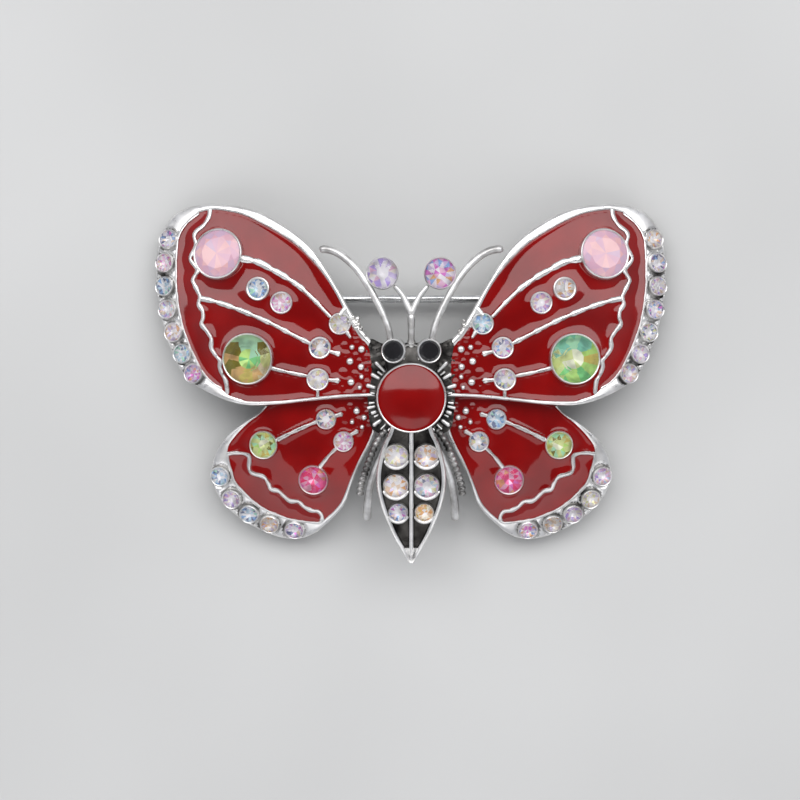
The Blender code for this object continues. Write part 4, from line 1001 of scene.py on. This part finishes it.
def beaded_leg(builder, side):
    line = smooth([(x * side, y, z) for x, y, z in FRONT_LEG], 0.08)
    swell = 1 + 0.2 * np.sin(lengths(line) * 2 * np.pi / 0.6)
    # The leg takes the darker silver: patina, and painted shade beside the abdomen.
    sweep(builder, line, rounded_radii(line, 0.3, 0.34) * swell, PATINA_AND_SHADE)


def make_body():
    body = Builder()
    middle = Matrix.Translation((0, THORAX_Y, 0))
    r, top = THORAX_RADIUS, THORAX_TOP
    body.turned([(r - 0.55, BODY_BASE), (r - 0.3, BODY_BASE + 0.08), (r - 0.05, BODY_BASE + 0.45),
                 (r, BODY_BASE + 0.8), (r, top - 0.16), (r - 0.03, top - 0.06), (r - 0.1, top),
                 (r - 0.17, top - 0.02), (r - 0.22, top - 0.1), (r - 0.24, top - 0.5)],
                96, SILVER, middle, caps=False)
    abdomen(body)
    head(body)
    for name, _, _, radius, place, ring in body_stones():
        foot = 1.1 if "eye" in name else 1.0 if "antenna" in name else 0.6
        bezel(body, place, radius, ring, foot, 48)
        if "antenna" in name:
            body.turned([(ring - 0.25, -foot - 0.08), (ring, -foot + 0.1)], 48, BACK, place)
        if "abdomen" in name:
            cup_lip(body, place, radius)
    for side in SIDES.values():
        rod(body, ANTENNA, 0.31, 0.39, ROD, side)
        rod(body, FORK_ARM, 0.34, 0.24, ROD, side)
        beaded_leg(body, side)
        rod(body, REAR_LEG, 0.28, 0.44, ROD, side, 0.08)
    rod(body, FORK_STEM, 0.3, 0.4, ROD)
    low = STUD_TOP
    body.turned([(1.05, low - 0.45), (1.3, low - 0.36), (1.4, low - 0.15), (1.4, low)], 40, BACK, middle)
    body.finish("body_metal", replaces=["body_casting"])

    button = Builder()
    edge = r - 0.2
    profile = [(edge, top - 0.5), (edge, top - 0.05)]
    for share in np.linspace(1, 0.03, 24):
        lip = 0.06 * math.exp((share - 1) * edge / 0.15)
        profile.append((edge * share, top - 0.08 + 0.5 * (1 - share ** 2) + lip))
    button.turned(profile, 96, RIPPLED_ENAMEL, middle)
    button.finish("thorax_enamel_button", replaces=["thorax_enamel"], slot="red_enamel", angle=60)
    for number, (name, palette, slot, radius, place, _) in enumerate(body_stones()):
        make_stone(name, radius, place, palette, slot, 300 + number)


def cup_lip(builder, place, radius):
    """The crescent of metal below an abdomen stone."""
    line = np.array([(x, y, 0.0) for x, y in arc(radius + 0.2, 200, 340, 22)])
    sweep(builder, line, rounded_radii(line, 0.13, 0.13), SILVER, 10, place)


def head(builder):
    """The head: a low dark dome between the eye cups, with bright lips where the antennae leave it."""
    place = Matrix.Translation((0, 1.95, BODY_BASE)) @ Matrix.Diagonal((1.25, 1.0, 1.0, 1))
    profile = [(2.05, 0.0), (2.08, 0.35)]
    profile += [(2.08 * x, 0.35 + 0.72 * y) for x, y in arc(1, 10, 80, 8)]
    profile.append((0.05, 1.07))
    builder.turned(profile, 48, PATINA, place)
    rod(builder, [(-0.75, 3.62, 8.0), (0, 3.78, 8.08), (0.75, 3.62, 8.0)], 0.09, 0.09, WORN, 1, 0.1, 10)
    for side in SIDES.values():
        cheek = [(0.75, 2.25, 8.22), (0.62, 2.9, 8.18), (0.8, 3.5, 8.05)]
        rod(builder, cheek, 0.07, 0.07, WORN, side, 0.1, 10)
        bead(builder, Matrix.Translation((2.0 * side, 4.15, 7.75)), 0.4, 0.35, WORN)
    bead(builder, Matrix.Translation((0, 4.05, 7.75)), 0.42, 0.4, WORN)


def make_bridge():
    """The metal between the wings, round the thorax: blackened, with bright cast grains and strokes."""
    bridge = Builder()
    half = [(0, 3.75), (2.6, 3.85), (4.1, 4.4), (4.5, 3.2), (4.35, 0.5), (4.3, -2.2), (3.6, -4.85),
            (0, -4.88)]
    polygon = smooth(half + [(-x, y) for x, y in half[::-1] if x], 0.4, closed=True)
    rng = np.random.default_rng(4)
    grains = rng.uniform((-4.6, -4.9), (4.6, 4.4), (260, 2))

    def surface(x, y):
        bumps = np.zeros_like(x)
        for gx, gy in grains:
            bumps = np.maximum(bumps, np.exp(-((x - gx) ** 2 + (y - gy) ** 2) / 0.03))
        return 6.93 - drop(x, y) + 0.14 * bumps

    under = UNDERSIDE + 0.01
    filled_sheet(bridge, polygon, 0.12, surface, PATINA)
    filled_sheet(bridge, polygon, 0.6, lambda x, y: LEVEL["upper"] - drop(x, y) + under, BACK)
    bridge.grid([lifted("upper", polygon, h) for h in (0.0, under)], BACK, wrap=True)
    for side in SIDES.values():
        for degrees, reach, radius in STROKES:
            a = math.radians(degrees)
            ends = [(r * math.cos(a), r * math.sin(a)) for r in (THORAX_RADIUS + 0.14, reach)]
            points = [(x, THORAX_Y + y, 7.04 - float(drop(x, y))) for x, y in ends]
            rod(bridge, points, 0.6 * radius, radius, SILVER, side, 0.08, 12)
    for side in SIDES.values():
        for x, y in rng.uniform((-0.45, -0.35), (0.45, 0.35), (46, 2)):
            t = rng.uniform()
            gx, gy = 3.3 + 2.6 * t + x, 4.0 + 2.3 * t + y
            if gx > 4.15 + 1.25 * t:
                place = on_dome("upper", gx * side, gy, 0.02)
                bead(bridge, place, rng.uniform(0.13, 0.26), rng.uniform(0.12, 0.24), WORN, 10)
    bridge.finish("bridge_metal")


# ---- pin back

ALONG_PIN = Matrix.Rotation(math.radians(90), 4, "Y")
ACROSS_PIN = Matrix.Rotation(math.radians(-90), 4, "X")


def at_pin(x, turn):
    """A turned place on the pin's axis."""
    return Matrix.Translation((x, PIN_Y, PIN_Z)) @ turn


def bevelled(obj, width=0.06):
    """Rounds the edges of a piece."""
    bevel = obj.modifiers.new("edges", "BEVEL")
    bevel.width = width * MM
    bevel.segments = 3
    bevel.limit_method = "ANGLE"
    bevel.angle_limit = math.radians(40)
    bevel.harden_normals = True


def slab(builder, polygon, low, high, mat, matrix=None):
    """A straight prism over a polygon."""
    n = len(polygon)
    verts = [(x, y, low) for x, y in polygon] + [(x, y, high) for x, y in polygon]
    faces = [tuple(range(n))[::-1], tuple(range(n, 2 * n))]
    faces += [(i, (i + 1) % n, n + (i + 1) % n, n + i) for i in range(n)]
    builder.add(verts, faces, mat, matrix)


def steel_plate(name, polygon, low, high, place, width=0.06, **ride):
    plate = Builder()
    slab(plate, polygon, low, high, STEEL, place)
    bevelled(plate.finish(name, slot="steel", **ride), width)


def rectangle(half_x, half_y):
    return [(half_x, half_y), (-half_x, half_y), (-half_x, -half_y), (half_x, -half_y)]


def make_pads():
    """The two flat pads cast under the wings, which the hinge and the catch stand on."""
    pads = Builder()
    corners = [(cx + x, cy + y) for k, (cx, cy) in enumerate(rectangle(1.8, 1.4))
               for x, y in arc(0.3, 90 * k, 90 * k + 90, 5)]
    for x in (HINGE_X, CATCH_X):
        slab(pads, corners, PAD_FACE, 5.6, BACK, Matrix.Translation((x, PIN_Y, 0)))
    bevelled(pads.finish("pin_pads"), 0.12)


def make_hinge():
    """The bracket, bent from sheet with an ear each side of the pin's eye, and its rivet."""
    inner, sheet = 0.46, 0.4
    steel_plate("hinge_base", rectangle(1.45, 0.86), FOOT_TOP - sheet, FOOT_TOP,
                Matrix.Translation((HINGE_X, PIN_Y, 0)), replaces=["pin_hinge_bracket"])
    root = FOOT_TOP - 0.2 - PIN_Z
    right = [(0.55, -PIN_Z), (0.75, -1.32), (0.95, -1.1), (1.05, -0.85), (1.05, root)]
    shape = right + [(-x, y) for x, y in right[::-1]]
    upright = at_pin(HINGE_X, Matrix.Rotation(math.radians(90), 4, "X"))
    for name, start in (("hinge_ear_a", inner), ("hinge_ear_b", -inner - sheet)):
        steel_plate(name, shape, -start - sheet, -start, upright)
    rivet = Builder()
    half = [(0.32, 0.0), (0.32, 0.89), (0.58, 0.9), (0.6, 0.96), (0.55, 1.05), (0.4, 1.1), (0.15, 1.12)]
    profile = [(r, -z) for r, z in half[::-1]] + half
    rivet.turned(profile, 40, STEEL, at_pin(HINGE_X, ACROSS_PIN))
    rivet.finish("hinge_rivet", replaces=["pin_hinge_rivet"], slot="steel")


def make_pin():
    """The pin stem: an eye round the rivet and a wire drawn to a point."""
    pin = Builder()
    half, outer, bore = 0.4, 0.85, 0.38
    rounded = [(outer, half - 0.14), (outer - 0.03, half - 0.05), (outer - 0.12, half), (bore, half)]
    eye = [(r, -z) for r, z in rounded[::-1]] + rounded + [(bore, -half)]
    pin.turned(eye, 48, STEEL, at_pin(HINGE_X, ACROSS_PIN), caps=False)
    point = 2.2
    shank = CATCH_X - HINGE_X + 2.4 - point
    profile = [(0.33, 0.62), (0.36, 0.75), (0.39, 1.0), (PIN_RADIUS, 1.3), (PIN_RADIUS, shank)]
    for t in (0.25, 0.5, 0.75, 0.9, 1.0):
        profile.append((PIN_RADIUS * (1 - t ** 1.6) + 0.02, shank + point * t))
    pin.turned(profile, 32, STEEL, at_pin(HINGE_X, ALONG_PIN))
    pin.finish("pin_wire", body="pin", replaces=["pin_stem"], slot="steel", angle=50)


def slot_arc(radius, mouth, count):
    """A circle about the pin, left open by a mouth this wide."""
    edge = math.degrees(math.asin(mouth / 2 / radius))
    return arc(radius, edge, 360 - edge, count)


def make_catch():
    """The catch: an open saddle on a stand, and inside it the slotted roller with its thumb tab."""
    bore, wall, half = 0.92, 1.32, 0.85
    lip = 0.55
    axis = at_pin(CATCH_X, ALONG_PIN)
    shape = [(PIN_Z, lip), (PIN_Z, wall), *arc(wall, 90, 270, 25), (PIN_Z, -wall), (PIN_Z, -lip),
             *slot_arc(bore, 2 * lip, 40)[::-1]]
    steel_plate("catch_saddle", shape, -half, half, axis, 0.05, replaces=["catch_housing"])
    stand = Builder()
    place = Matrix.Translation((CATCH_X, PIN_Y, 0))
    slab(stand, rectangle(0.8, 0.7), 2.55, FOOT_TOP - 0.1, STEEL, place)
    slab(stand, rectangle(1.6, 1.3), FOOT_TOP - 0.4, FOOT_TOP, STEEL, place)
    bevelled(stand.finish("catch_stand", slot="steel"), 0.08)
    mouth = 0.94
    for name, radius, low, high in (
        ("roller_barrel", 0.86, -0.93, 0.93), ("roller_flange_a", 1.12, 0.91, 1.21),
        ("roller_flange_b", 1.12, -1.21, -0.91),
    ):
        shape = slot_arc(radius, mouth, 40) + slot_arc(0.5, mouth, 24)[::-1]
        shown = ["catch_roller"] if name == "roller_barrel" else []
        steel_plate(name, shape, low, high, axis, 0.04, body="roller", replaces=shown)
    tip = [(x, 1.75 + y) for x, y in arc(0.35, 0, 180, 13)]
    steel_plate("roller_tab", [(-0.35, 0.9), (0.35, 0.9), *tip], 0.92, 1.2, axis, 0.05, body="roller")


# ---- stage


def make_floor():
    """A plain pale floor at the plane that the brooch lies on."""
    mat, tree, shader = new_material("pale_floor", (0.60, 0.60, 0.59), 0.75)
    tone(tree, shader, 0.02, 2, (0.57, 0.57, 0.565), (0.62, 0.62, 0.615))
    mesh = bpy.data.meshes.new("floor")
    mesh.from_pydata([(x, y, 0) for x, y in rectangle(1.5, 1.5)], [], [(0, 1, 2, 3)])
    mesh.materials.append(mat)
    floor = add_object("floor", mesh)
    floor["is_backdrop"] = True


def make_sky():
    """A soft sky, dimmer overhead than at the horizon."""
    world = bpy.data.worlds.new("studio")
    world.use_nodes = True
    tree = world.node_tree
    sky = tree.nodes["Background"]
    sky.inputs["Color"].default_value = (0.92, 0.94, 1.0, 1)
    place = tree.nodes.new("ShaderNodeTexCoord")
    split = tree.nodes.new("ShaderNodeSeparateXYZ")
    tree.links.new(place.outputs["Generated"], split.inputs[0])
    tree.links.new(map_range(tree, split.outputs["Z"], 0.55, 0.97, 0.5, 0.1), sky.inputs["Strength"])
    bpy.context.scene.world = world


def make_lights():
    # Each softbox: place, aim, width, depth and brightness.
    for name, place, aim, size, bright in (
        ("key", (0.0, 0.475, 0.7), (0.0, 0.475, 0.0), (1.6, 0.7), 2.7),
        ("fill", (0.0, -0.5, 0.6), (0.0, -0.2, 0.0), (1.2, 0.5), 1.0),
    ):
        light = bpy.data.lights.new(name, "AREA")
        light.shape = "RECTANGLE"
        light.size, light.size_y = size
        light.energy = bright * math.pi * size[0] * size[1]
        lamp = add_object(name, light)
        lamp.location = place
        lamp.rotation_euler = (Vector(aim) - Vector(place)).to_track_quat("-Z", "Y").to_euler()


def make_camera():
    """Straight above the face, with this width of its plane in the picture."""
    distance, framed = 0.35, 0.08
    camera = bpy.data.cameras.new("camera")
    camera.sensor_width = 36
    camera.lens = camera.sensor_width * distance / framed
    camera.clip_start = 0.01
    eye = add_object("camera", camera)
    eye.location = (-0.00112, -0.0017, distance + 0.005)
    bpy.context.scene.camera = eye
    bpy.context.scene.view_settings.view_transform = "Standard"


make_bridge()
for wing_name in WINGS:
    for name_of_side, sign in SIDES.items():
        make_wing(wing_name, name_of_side, sign)
        wing_stones(wing_name, name_of_side, sign)
make_body()
make_pads()
make_hinge()
make_pin()
make_catch()
make_floor()
make_sky()
make_lights()
make_camera()
[[list(corner) for corner in box] for box in (CAD_BOX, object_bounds())]
